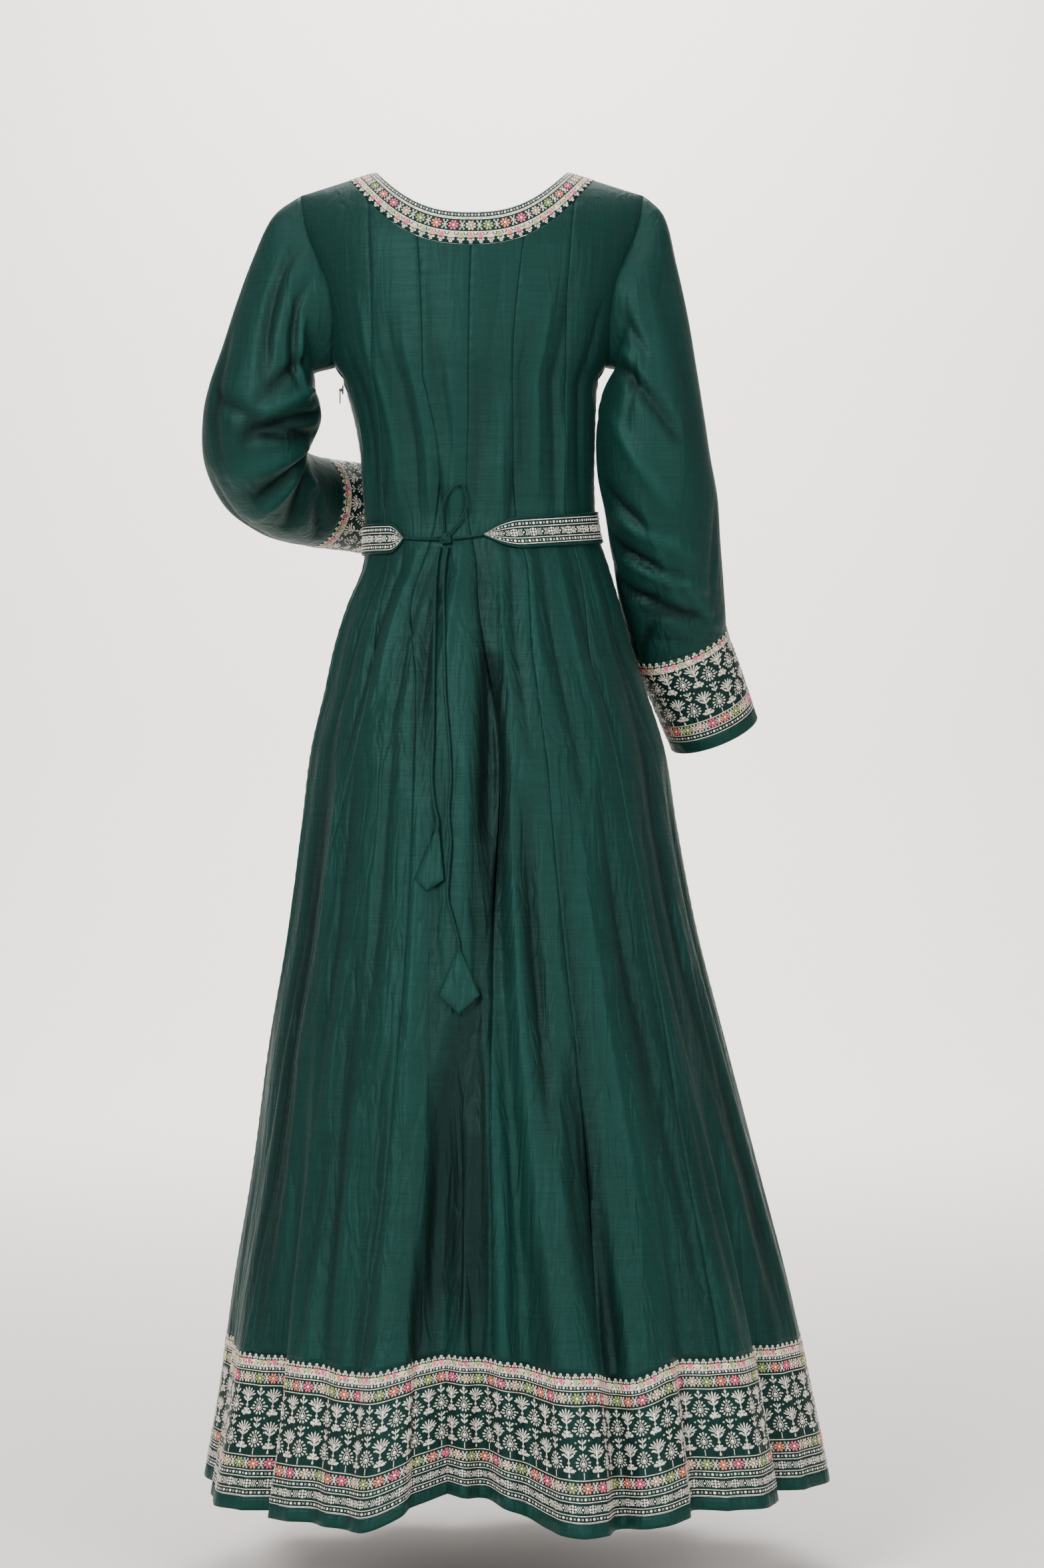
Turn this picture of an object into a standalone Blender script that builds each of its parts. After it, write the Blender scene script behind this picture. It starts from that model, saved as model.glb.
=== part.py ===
"""Anarkali gown of twelve long silk panels, open and hollow, in the form it has when it is worn.

Metres, +Z up. The gown's front faces -Y and the wearer's left is +X. The origin lies between the
shoulders, where the wearer holds the gown up. Every panel, border and belt is a wall on one body
surface, which is worked out from level sections and from the skirt's folds.
"""
import math

import bmesh
import bpy
import numpy as np
from mathutils import Vector

for old in list(bpy.data.objects):
    bpy.data.objects.remove(old, do_unlink=True)

# Sizes of cloth and seams
SEAM_GAP = 0.0003
CLOTH = 0.0012
BORDER_CLOTH = 0.0018
BELT_CLOTH = 0.0020

# Shoulders and neckline
SHOULDER_TOP = 0.003
SHOULDER_SLOPE = 0.30
SHOULDER_ROUND = 0.090
NECK_INNER_HALF = 0.099
NECK_OUTER_HALF = 0.126
NECK_POWER = 2.5
NECK_LOW = {"back": (-0.049, -0.083), "front": (-0.128, -0.163)}
NECK_SEAM_HALF = {"outer seam": 0.104, "inner seam": 0.054}

# Levels of the body
SECTION_POWER = 2.15
RING_LEVEL = -0.215
BORDER_TOP = -1.185
HEM = -1.335
HEM_EDGE_SHARE = 0.91

# Level sections of the body: height, left and right side, back and front
BODY = np.array([
    (0.010, 0.186, -0.186, 0.080, -0.084),
    (-0.050, 0.178, -0.178, 0.087, -0.096),
    (-0.100, 0.165, -0.165, 0.091, -0.112),
    (-0.150, 0.152, -0.152, 0.093, -0.124),
    (-0.195, 0.142, -0.138, 0.0925, -0.128),
    (-0.215, 0.131, -0.129, 0.0910, -0.126),
    (-0.236, 0.1243, -0.1275, 0.0895, -0.122),
    (-0.277, 0.1155, -0.1262, 0.0860, -0.111),
    (-0.324, 0.1115, -0.1258, 0.0835, -0.098),
    (-0.365, 0.1095, -0.1290, 0.0830, -0.092),
    (-0.400, 0.1120, -0.1400, 0.0930, -0.097),
    (-0.440, 0.1280, -0.1520, 0.1080, -0.104),
    (-0.481, 0.1410, -0.1630, 0.1200, -0.110),
    (-0.522, 0.1500, -0.1765, 0.1300, -0.116),
    (-0.584, 0.1650, -0.1965, 0.1430, -0.126),
    (-0.666, 0.1755, -0.2100, 0.1550, -0.140),
    (-0.768, 0.1885, -0.2295, 0.1710, -0.158),
    (-0.891, 0.2090, -0.2610, 0.1930, -0.182),
    (-1.014, 0.2250, -0.2930, 0.2150, -0.206),
    (-1.137, 0.2450, -0.3250, 0.2400, -0.232),
    (-1.240, 0.2580, -0.3470, 0.2620, -0.254),
    (-1.340, 0.2760, -0.3670, 0.2830, -0.276),
])

# Seams on the back: height, then degrees from the centre back, from the left side to the right side
SEAMS = np.array([
    (-0.200, 90, 47.5, 20.0, 0.0, -18.0, -47.0, -90),
    (-0.365, 90, 53.5, 21.5, 4.5, -16.5, -46.5, -90),
    (-0.400, 90, 49.5, 28.0, 3.0, -17.5, -47.0, -90),
    (-0.522, 90, 43.5, 23.0, -2.0, -17.0, -43.0, -90),
    (-0.768, 90, 56.0, 21.5, -1.0, -18.5, -47.0, -88),
    (-1.014, 90, 60.0, 24.5, 2.5, -17.5, -43.0, -82),
    (-1.190, 90, 59.5, 28.5, 4.0, -16.0, -42.0, -76),
])
PANELS = 12
SIDE_PANELS = (0, 5, 6, 11)

# Armhole: height, share of the body's half width
ARMHOLE = np.array([
    (-0.0200, 0.962), (-0.0570, 0.955), (-0.0870, 0.930), (-0.1170, 0.905),
    (-0.1500, 0.925), (-0.1780, 0.965), (-0.1970, 1.000),
])
NECK_SIDE_STEPS = 3
SHOULDER_STEPS = 2
ARMHOLE_START = NECK_SIDE_STEPS + SHOULDER_STEPS
SIDE_STEPS = ARMHOLE_START + len(ARMHOLE) - 1

# Folds of the skirt: degrees from the centre back, half width in degrees, height where the fold
# starts, depth at the hem (negative goes in)
FOLDS = np.array([
    (-2.0, 4.5, -0.47, -0.028), (5.5, 7.0, -0.95, -0.046), (13.0, 5.5, -0.86, -0.048),
    (24.0, 7.0, -0.75, 0.012), (38.0, 5.0, -0.95, -0.010), (52.0, 5.0, -0.78, -0.026),
    (63.0, 6.0, -0.70, 0.010), (77.0, 5.0, -0.85, -0.016),
    (-10.0, 6.0, -0.80, 0.016), (-17.5, 4.0, -0.86, -0.016), (-25.0, 6.0, -0.80, 0.010),
    (-34.0, 5.0, -0.90, -0.022), (-46.0, 6.0, -0.80, 0.010), (-58.0, 6.0, -0.75, -0.034),
    (-72.0, 7.0, -0.70, 0.010), (-84.0, 6.0, -0.80, -0.014),
    (-100.0, 6.0, -0.70, 0.010), (-112.0, 7.0, -0.62, -0.030), (-125.0, 7.0, -0.75, 0.014),
    (-138.0, 6.0, -0.85, -0.026), (-150.0, 6.5, -0.70, 0.012), (-163.0, 7.0, -0.66, -0.034),
    (-176.0, 7.0, -0.80, 0.016), (-190.0, 6.5, -0.90, -0.026), (-203.0, 6.5, -0.72, 0.012),
    (-216.0, 7.0, -0.64, -0.032), (-229.0, 7.0, -0.78, 0.014), (-242.0, 6.0, -0.86, -0.022),
    (-254.0, 6.0, -0.74, 0.010), (-266.0, 5.0, -0.90, -0.012),
])
FOLD_GROWTH = 1.3
# Places where the hem is lifted: degrees from the centre back, half width in degrees, lift
HEM_LIFTS = np.array([
    (5.0, 15.0, 0.012), (13.0, 12.5, 0.024), (2.0, 8.0, 0.010), (86.0, 22.0, 0.010),
    (-34.0, 20.0, 0.012), (-58.0, 24.0, 0.014), (-84.0, 26.0, 0.018), (-150.0, 30.0, 0.006),
])
BORDER_TOP_FOLLOWS = 0.4
# Places where only the border's top seam drops: the same columns
TOP_DROPS = np.array([(-20.0, 9.0, 0.010), (30.0, 12.0, 0.004)])

# Belt
BELT_HEIGHT = 0.030
BELT_OFFSET = 0.0009
BELT_ENDS = {"left": (39.0, 0.018), "right": (-1.0, 0.030)}
# Belt's middle line: degrees from the centre back, height
BELT_LINE = np.array([
    (90.0, -0.373), (39.0, -0.376), (-1.0, -0.374), (-45.0, -0.367), (-90.0, -0.360),
    (-180.0, -0.366), (-270.0, -0.373),
])

# Sleeves: middle x (towards the arm's own side), y, z, half width, half depth, share of the
# armhole's own form. The first ring of each sleeve is the armhole itself.
SLEEVE_LEFT = np.array([
    (0.1780, 0.002, -0.1300, 0.060, 0.050, 0.80), (0.1895, 0.004, -0.1540, 0.058, 0.052, 0.58),
    (0.1985, 0.005, -0.1800, 0.058, 0.054, 0.38), (0.2050, 0.005, -0.2060, 0.059, 0.055, 0.18),
    (0.2110, 0.004, -0.2310, 0.061, 0.056, 0.05), (0.2190, 0.001, -0.2580, 0.058, 0.055, 0.0),
    (0.2225, -0.010, -0.2840, 0.054, 0.053, 0.0), (0.2155, -0.035, -0.3060, 0.051, 0.052, 0.0),
    (0.2000, -0.061, -0.3180, 0.049, 0.051, 0.0), (0.1830, -0.083, -0.3235, 0.048, 0.050, 0.0),
    (0.1670, -0.098, -0.3260, 0.047, 0.049, 0.0),
])
CUFF_LEFT = np.array([
    (0.1310, -0.1285, -0.3285, 0.047, 0.048), (0.0950, -0.1595, -0.3310, 0.048, 0.048),
    (0.0844, -0.1686, -0.3320, 0.048, 0.048),
])
SLEEVE_RIGHT = np.array([
    (0.1680, 0.003, -0.1270, 0.056, 0.046, 0.85), (0.1740, 0.006, -0.1540, 0.053, 0.048, 0.60),
    (0.1790, 0.009, -0.1830, 0.052, 0.049, 0.36), (0.1820, 0.011, -0.2150, 0.052, 0.050, 0.15),
    (0.1840, 0.012, -0.2560, 0.0545, 0.051, 0.0), (0.1875, 0.011, -0.2970, 0.057, 0.052, 0.0),
    (0.1950, 0.004, -0.3360, 0.057, 0.052, 0.0), (0.1995, -0.008, -0.3790, 0.056, 0.051, 0.0),
    (0.2045, -0.022, -0.4200, 0.055, 0.048, 0.0), (0.2105, -0.037, -0.4570, 0.0525, 0.045, 0.0),
    (0.2145, -0.045, -0.4760, 0.0515, 0.043, 0.0),
])
CUFF_RIGHT = np.array([
    (0.2315, -0.063, -0.5165, 0.0500, 0.042), (0.2480, -0.081, -0.5570, 0.0485, 0.041),
    (0.2528, -0.086, -0.5690, 0.0485, 0.041),
])
SLEEVE_SIDES = 24
ARMHOLE_GAP = 0.0007

# Tie cord: routes on the back as x and z, laid on the body's surface
CORD_RADIUS = 0.0016
CORD_OFF_CLOTH = 0.0008
KNOT_PLACE = (0.0246, -0.3785)
KNOT_SIZE = (0.0135, 0.0090, 0.0120)
LOOP_ROUTE = [
    (0.0265, -0.3723), (0.0275, -0.3580), (0.0273, -0.3434), (0.0213, -0.3308), (0.0150, -0.3245),
    (0.0093, -0.3222), (0.0053, -0.3295), (0.0033, -0.3408), (0.0062, -0.3520), (0.0125, -0.3625),
    (0.0205, -0.3728),
]
STRAND_ROUTES = {
    "left": [(0.0300, -0.3860), (0.0322, -0.3960), (0.0340, -0.4125), (0.0352, -0.4700),
             (0.0358, -0.5300), (0.0360, -0.5790), (0.0368, -0.6255), (0.0345, -0.6450),
             (0.0312, -0.6610)],
    "right": [(0.0225, -0.3862), (0.0245, -0.3960), (0.0262, -0.4125), (0.0256, -0.4700),
              (0.0245, -0.5320), (0.0205, -0.5800), (0.0188, -0.6196), (0.0207, -0.6536),
              (0.0187, -0.6784), (0.0205, -0.7080), (0.0212, -0.7362), (0.0150, -0.7600),
              (0.0102, -0.7805)],
}
# Cloth kites: x and z of the top, length, half width, share of the length where it is widest,
# sideways drift of the lower end
KITES = {"left": (0.0306, -0.6620, 0.066, 0.0150, 0.84, 0.011),
         "right": (0.0100, -0.7815, 0.066, 0.0205, 0.72, 0.000)}
KITE_THICK = 0.0030

# Zip under the wearer's left arm
ZIP_LEVEL = -0.219
SLIDER_SIZE = (0.0016, 0.0066, 0.0090)
LUG_WIDTH = 0.0009
LUG_HEIGHT = 0.0026
PIN_RADIUS = 0.00045
EYE_RADIUS = 0.0008
EYE_OUTER = 0.0013
PULL_WIDTH = 0.0040
PULL_THICK = 0.0012
PULL_LENGTH = 0.0140


def hermite(table_x, table_y, x):
    """Smooth curve through a table whose first column rises or falls."""
    table_x = np.asarray(table_x, float)
    table_y = np.asarray(table_y, float)
    if table_x[0] > table_x[-1]:
        table_x = table_x[::-1]
        table_y = table_y[::-1]
    slope = np.gradient(table_y, table_x)
    x = float(np.clip(x, table_x[0], table_x[-1]))
    k = int(np.clip(np.searchsorted(table_x, x) - 1, 0, len(table_x) - 2))
    step = table_x[k + 1] - table_x[k]
    t = (x - table_x[k]) / step
    return ((2 * t**3 - 3 * t**2 + 1) * table_y[k] + (t**3 - 2 * t**2 + t) * step * slope[k]
            + (3 * t**2 - 2 * t**3) * table_y[k + 1] + (t**3 - t**2) * step * slope[k + 1])


def body_size(z):
    """Left, right, back and front of the body at a height."""
    return [hermite(BODY[:, 0], BODY[:, k], z) for k in range(1, 5)]


def fold_offset(angle, z):
    """How far the folds push the skirt out at an angle and height."""
    total = 0.0
    for place, half, start, depth in FOLDS:
        if z >= start:
            continue
        away = (angle - place + 180.0) % 360.0 - 180.0
        if abs(away) < half:
            grown = min(1.0, (start - z) / (start - HEM)) ** FOLD_GROWTH
            total += depth * grown * 0.5 * (1.0 + math.cos(math.pi * away / half))
    return total


def wave(table, angle):
    """Sum at an angle of a table of rounded waves: place, half width, height."""
    total = 0.0
    for place, half, height in table:
        away = (angle - place + 180.0) % 360.0 - 180.0
        if abs(away) < half:
            total += height * 0.5 * (1.0 + math.cos(math.pi * away / half))
    return total


def body_point(angle, z):
    """Point of the body surface; the angle is in degrees from the centre back, left is positive."""
    left, right, back, front = body_size(z)
    middle = 0.5 * (left + right)
    half = 0.5 * (left - right)
    turn = math.radians(angle)
    s = math.sin(turn)
    c = math.cos(turn)
    depth = back if c >= 0 else -front
    power = 2.0 / SECTION_POWER
    x = half * math.copysign(abs(s) ** power, s)
    y = depth * math.copysign(abs(c) ** power, c)
    out = fold_offset(angle, z) / max(1e-6, math.hypot(x, y))
    return np.array((middle + x * (1 + out), y * (1 + out), z))


def shoulder_height(x):
    return SHOULDER_TOP - SHOULDER_SLOPE * max(0.0, abs(x) - NECK_INNER_HALF)


def upper_y(x, z, back):
    """Depth of the upper body at x and z, rounded over the shoulder."""
    left, right, behind, before = body_size(z)
    half = left if x >= 0 else -right
    share = min(1.0, abs(x) / half)
    depth = (behind if back else -before) * (1 - share**SECTION_POWER) ** (1 / SECTION_POWER)
    below = min(1.0, max(0.0, shoulder_height(x) - z) / SHOULDER_ROUND)
    y = max(depth * math.sqrt(1 - (1 - below) ** 2), 0.6 * SEAM_GAP)
    return y if back else -y


def neck_height(x, back, edge):
    """Height of the neckline: edge 0 is the open edge, edge 1 the seam to the panels."""
    low = NECK_LOW["back" if back else "front"][edge]
    half = (NECK_INNER_HALF, NECK_OUTER_HALF)[edge]
    return low + (shoulder_height(half) - low) * min(1.0, abs(x) / half) ** NECK_POWER


def side_top(share, left):
    """Top edge of a side panel, from the neck (0) over the shoulder and down the armhole (1)."""
    step = share * SIDE_STEPS
    tip_half = ARMHOLE[0, 1] * (body_size(ARMHOLE[0, 0])[0])
    if step <= NECK_SIDE_STEPS:
        turn = math.acos(NECK_SEAM_HALF["outer seam"] / NECK_OUTER_HALF)
        x = NECK_OUTER_HALF * math.cos(turn * (1 - step / NECK_SIDE_STEPS))
        z = None
    elif step <= ARMHOLE_START:
        out = (step - NECK_SIDE_STEPS) / SHOULDER_STEPS
        x = NECK_OUTER_HALF + out * (tip_half - NECK_OUTER_HALF)
        z = shoulder_height(x)
    else:
        down = step - ARMHOLE_START
        rows = np.arange(len(ARMHOLE))
        z = hermite(rows, ARMHOLE[:, 0], down)
        size = body_size(z)
        half = size[0] if left else -size[1]
        x = hermite(rows, ARMHOLE[:, 1], down) * half
    return x, z


def top_place(g):
    """x, z and side of the panels' top edge at a place g round the body, 0 at the left side seam."""
    g = g % PANELS
    back = g <= PANELS / 2
    left = g < PANELS / 4 or g > 3 * PANELS / 4
    from_side = min(g, PANELS - g, abs(g - PANELS / 2))
    if from_side < 1:
        x, z = side_top(1 - from_side, left)
    else:
        seams = [NECK_SEAM_HALF["outer seam"], NECK_SEAM_HALF["inner seam"], 0.0]
        x = float(np.interp(from_side, (1, 2, 3), seams))
        z = None
    if z is None:
        z = neck_height(x, back, 1)
    return (x if left else -x), z, back


def seam_angle(g, z):
    """Degrees from the centre back at a place g round the body, falling from 90 to -270."""
    rows = [float(np.interp(-z, -SEAMS[:, 0], SEAMS[:, k])) for k in range(1, 8)]
    span = rows[6] + 270.0
    rows += [rows[6] - span * k / 6 for k in range(1, 7)]
    turns = math.floor(g / PANELS)
    return float(np.interp(g - turns * PANELS, range(PANELS + 1), rows)) - 360.0 * turns


def skirt_level(g, share):
    """Height at a share of the border: 0 is its top seam, 1 the hem."""
    angle = seam_angle(g, BORDER_TOP)
    lift = wave(HEM_LIFTS, angle)
    top = BORDER_TOP + BORDER_TOP_FOLLOWS * lift - wave(TOP_DROPS, angle)
    return top + share * (HEM + lift - top)


def panel_point(g, row):
    """Row below 1 is the upper body, from its top edge (0) to the ring; then a height is given."""
    if row > -1e-9:
        x1, z1, back = top_place(g)
        ring = body_point(seam_angle(g, RING_LEVEL), RING_LEVEL)
        x = x1 + (ring[0] - x1) * (1 - (1 - row) ** 2)
        z = z1 + (RING_LEVEL - z1) * row
        if row > 0.999:
            return ring
        return np.array((x, upper_y(x, z, back), z))
    return body_point(seam_angle(g, row), row)


def border_point(g, share):
    z = skirt_level(g, share)
    return body_point(seam_angle(g, z), z)


def outward(point_at, u, v, du, dv, inside):
    """Unit normal of a surface, turned away from a point inside it."""
    along = point_at(u + du, v) - point_at(u - du, v)
    down = point_at(u, v + dv) - point_at(u, v)
    normal = np.cross(along, down)
    normal = normal / max(1e-9, np.linalg.norm(normal))
    here = point_at(u, v)
    return normal if np.dot(normal, here - inside) > 0 else -normal


def material(name, colour, rough, metal=0.0):
    made = bpy.data.materials.new(name)
    made.use_nodes = True
    shader = made.node_tree.nodes["Principled BSDF"]
    shader.inputs["Base Color"].default_value = (*colour, 1.0)
    shader.inputs["Roughness"].default_value = rough
    shader.inputs["Metallic"].default_value = metal
    return made


SILK = material("silk", (0.014, 0.070, 0.055), 0.55)
BORDER = material("embroidered_band", (0.16, 0.17, 0.12), 0.50)
EDGE = material("silk_strip", (0.012, 0.060, 0.048), 0.60)
CORD = material("tie_cord", (0.010, 0.050, 0.040), 0.60)
ZIP = material("zip_metal", (0.05, 0.05, 0.05), 0.35, 1.0)


def place_mesh(name, points, faces, finish):
    mesh = bpy.data.meshes.new(name)
    mesh.from_pydata([tuple(p) for p in points], [], faces)
    shape = bmesh.new()
    shape.from_mesh(mesh)
    bmesh.ops.recalc_face_normals(shape, faces=shape.faces)
    bmesh.ops.triangulate(shape, faces=shape.faces)
    shape.to_mesh(mesh)
    shape.free()
    mesh.shade_smooth()
    mesh.materials.append(finish)
    thing = bpy.data.objects.new(name, mesh)
    bpy.context.scene.collection.objects.link(thing)
    return thing


def wall(name, outer, inner, finish, ring=False):
    """Closed wall between two grids of points, open or running all the way round."""
    rows, columns = outer.shape[:2]
    points = list(outer.reshape(-1, 3)) + list(inner.reshape(-1, 3))
    count = rows * columns
    faces = []
    steps = columns if ring else columns - 1
    for r in range(rows - 1):
        for c in range(steps):
            a, b = r * columns + c, r * columns + (c + 1) % columns
            d, e = a + columns, b + columns
            faces.append((a, b, e, d))
            faces.append((count + d, count + e, count + b, count + a))
    for r in (0, rows - 1):
        for c in range(steps):
            a, b = r * columns + c, r * columns + (c + 1) % columns
            faces.append((a, count + a, count + b, b))
    if not ring:
        for c in (0, columns - 1):
            for r in range(rows - 1):
                a, b = r * columns + c, (r + 1) * columns + c
                faces.append((a, b, count + b, count + a))
    return place_mesh(name, points, faces, finish)


def ring_wall(name, rings, thickness, finish, first_normals=None):
    """Wall of a tube from its outer rings, thickened towards the tube's own middle."""
    rings = np.array(rings)
    around = np.roll(rings, -1, axis=1) - np.roll(rings, 1, axis=1)
    along = np.gradient(rings, axis=0)
    normal = np.cross(around, along)
    normal /= np.linalg.norm(normal, axis=2, keepdims=True)
    middle = rings.mean(axis=1, keepdims=True)
    facing = np.sign((normal * (rings - middle)).sum(axis=2).mean())
    normal *= facing
    if first_normals is not None:
        normal[0] = first_normals
    return wall(name, rings, rings - normal * thickness, finish, ring=True)


# Panels
UPPER_ROWS = (0.0, 0.06, 0.18, 0.36, 0.64)
LOWER_ROWS = (RING_LEVEL, -0.272, -0.345, -0.370, -0.393, -0.435, -0.500, -0.590, -0.710, -0.850,
              -0.985, -1.095)
BACK_STEPS = 6
FRONT_STEPS = 5


def panel_columns(index):
    if index in SIDE_PANELS:
        shares = [k / SIDE_STEPS for k in range(SIDE_STEPS + 1)]
        if index in (0, 6):
            shares = [1 - share for share in reversed(shares)]
        return [index + share for share in shares]
    steps = BACK_STEPS if index < PANELS / 2 else FRONT_STEPS
    return [index + k / steps for k in range(steps + 1)]


def inside_point(point):
    """A place on the body's middle line, for telling inside from outside."""
    left, right = body_size(point[2])[:2]
    return np.array((0.5 * (left + right), 0.0, min(point[2], -0.12) - 0.02))


def panel_wall(index):
    columns = panel_columns(index)
    rows = [("upper", r) for r in UPPER_ROWS] + [("lower", z) for z in LOWER_ROWS]
    rows.append(("border", 0.0))
    outer = []
    inner = []
    for kind, row in rows:
        point_at = border_point if kind == "border" else panel_point
        ends = point_at(columns[0], row), point_at(columns[-1], row)
        shift = 0.6 * SEAM_GAP / np.linalg.norm(ends[1] - ends[0])
        line = list(columns)
        line[0] += shift
        line[-1] -= shift
        step = {"upper": 0.004, "lower": -0.002, "border": -0.01}[kind]
        start = 0.002 if (kind, row) == ("upper", 0.0) else row
        start = start - 0.002 if kind == "border" else start
        for g in line:
            here = point_at(g, start)
            normal = outward(point_at, g, start, 0.004, step, inside_point(here))
            under = here - CLOTH * normal
            if kind == "upper" and abs(under[1]) < 0.6 * SEAM_GAP or here[1] * under[1] < 0:
                under[1] = math.copysign(0.6 * SEAM_GAP, here[1])
            outer.append(here)
            inner.append(under)
    shape = (len(rows), len(columns), 3)
    name = f"back_kali_{index + 1}" if index < PANELS / 2 else f"front_kali_{index - 5}"
    return wall(name, np.reshape(outer, shape), np.reshape(inner, shape), SILK)


for panel in range(PANELS):
    panel_wall(panel)

# Hem border and hem edge
HEM_COLUMNS = sorted({round(g, 6) for panel in range(PANELS) for g in panel_columns(panel)[:-1]})


def hem_wall(name, shares, thickness, finish):
    outer = []
    inner = []
    for share in shares:
        for g in HEM_COLUMNS:
            here = border_point(g, share)
            normal = outward(border_point, g, share, 0.004, -0.01, inside_point(here))
            outer.append(here)
            inner.append(here - thickness * normal)
    shape = (len(shares), len(HEM_COLUMNS), 3)
    return wall(name, np.reshape(outer, shape), np.reshape(inner, shape), finish, ring=True)


HEM_SEAM = SEAM_GAP / (BORDER_TOP - HEM)
hem_wall("hem_border", (HEM_SEAM, HEM_EDGE_SHARE), BORDER_CLOTH, BORDER)
hem_wall("hem_edge", (HEM_EDGE_SHARE + HEM_SEAM, 1.0), BORDER_CLOTH, EDGE)

# Neck border
NECK_STEPS = 12


def neck_point(u, edge_share):
    """u runs from the left shoulder (0) over the back (1) and the front (3) and back to the left (4)."""
    u = u % 4
    back = u <= 2
    across = math.cos(math.pi * u / 2)
    places = []
    for edge, half in enumerate((NECK_INNER_HALF, NECK_OUTER_HALF)):
        x = half * across
        places.append((x, neck_height(x, back, edge)))
    x = places[0][0] + edge_share * (places[1][0] - places[0][0])
    z = places[0][1] + edge_share * (places[1][1] - places[0][1])
    return np.array((x, upper_y(x, z, back) if abs(across) < 0.99999 else 0.0, z))


def neck_wall():
    seam = 1 - 1.2 * SEAM_GAP / (NECK_OUTER_HALF - NECK_INNER_HALF)
    outer = []
    inner = []
    shares = (0.0, seam)
    for share in shares:
        for k in range(4 * NECK_STEPS):
            u = k / NECK_STEPS
            here = neck_point(u, share)
            normal = outward(neck_point, u, share, 0.01, -0.01, np.array((0.0, 0.0, -0.14)))
            outer.append(here)
            inner.append(here - BORDER_CLOTH * normal)
    shape = (len(shares), 4 * NECK_STEPS, 3)
    return wall("neck_border", np.reshape(outer, shape), np.reshape(inner, shape), BORDER, ring=True)


neck_wall()


# Sleeves and cuffs
def armhole_ring(side):
    """Armhole seam from the shoulder tip down the back, and up the front."""
    base = 0.0 if side > 0 else PANELS / 2
    share = 1 - ARMHOLE_START / SIDE_STEPS
    ring = []
    for k in range(SLEEVE_SIDES):
        turn = 2 * k / SLEEVE_SIDES
        along = share * (1 - turn) if turn <= 1 else -share * (turn - 1)
        g = base + (along if side > 0 else -along)
        ring.append(panel_point(g, 0.0))
    ring = np.array(ring)
    ring[1::2] = 0.5 * (ring[0::2] + np.roll(ring[0::2], -1, axis=0))
    normals = (ring - ring.mean(axis=0)) * (0.0, 1.0, 1.0)
    return ring, normals / np.linalg.norm(normals, axis=1, keepdims=True)


def sleeve_rings(side, sections, first):
    """Rings of a sleeve: each section's oval, mixed with the armhole's own form."""
    middle = first.mean(axis=0)
    places = np.array([middle] + [(side * row[0], row[1], row[2]) for row in sections])
    along = np.gradient(places, axis=0)
    along /= np.linalg.norm(along, axis=1, keepdims=True)
    rings = []
    for k, row in enumerate(sections, start=1):
        behind = np.array((0.0, 1.0, 0.0)) - along[k][1] * along[k]
        behind /= np.linalg.norm(behind)
        out = np.cross(along[k], behind) * side
        keep = row[5] if len(row) > 5 else 0.0
        ring = []
        for j in range(SLEEVE_SIDES):
            turn = 2 * math.pi * j / SLEEVE_SIDES
            oval = out * row[3] * math.cos(turn) + behind * row[4] * math.sin(turn)
            ring.append(places[k] + keep * (first[j] - middle) + (1 - keep) * oval)
        rings.append(np.array(ring))
    return rings, along


for side, label, sleeve, cuff in ((1, "left", SLEEVE_LEFT, CUFF_LEFT),
                                  (-1, "right", SLEEVE_RIGHT, CUFF_RIGHT)):
    armhole, normals = armhole_ring(side)
    whole = [tuple(row) for row in sleeve] + [tuple(row) for row in cuff]
    rings, along = sleeve_rings(side, whole, armhole)
    start = armhole + np.array((side * ARMHOLE_GAP, 0.0, 0.0))
    last = len(sleeve)
    step = along[last] * SEAM_GAP
    ring_wall(f"sleeve_{label}", [start] + rings[:last], CLOTH, SILK, normals)
    edge_step = along[last + 2] * SEAM_GAP
    ring_wall(f"cuff_border_{label}", [rings[last - 1] + step] + rings[last:last + 2],
              BORDER_CLOTH, BORDER)
    ring_wall(f"cuff_edge_{label}", [rings[last + 1] + edge_step, rings[last + 2]],
              BORDER_CLOTH, EDGE)


# Belt
def belt_height(angle):
    order = np.argsort(BELT_LINE[:, 0])
    return float(np.interp(angle, BELT_LINE[order, 0], BELT_LINE[order, 1]))


def belt_place(angle, share, lift):
    """Point over the panels at an angle and a share of the belt's height, moved out by lift."""
    z = belt_height(angle) + (0.5 - share) * BELT_HEIGHT

    def point_at(a, height):
        return body_point(a, height)

    here = body_point(angle, z)
    normal = outward(point_at, angle, z, 0.5, 0.001, inside_point(here))
    return here + lift * normal


def belt_narrowing(angle, waist_radius=0.100):
    """Share of the full height, which rounds down to each pointed end."""
    left_end, left_length = BELT_ENDS["left"]
    right_end, right_length = BELT_ENDS["right"]
    from_left = math.radians((angle - left_end) % 360.0) * waist_radius
    from_right = math.radians((right_end - angle) % 360.0) * waist_radius
    tip = min(1.0, from_left / left_length, from_right / right_length)
    return max(0.06, 1 - (1 - tip) ** 2)


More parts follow.
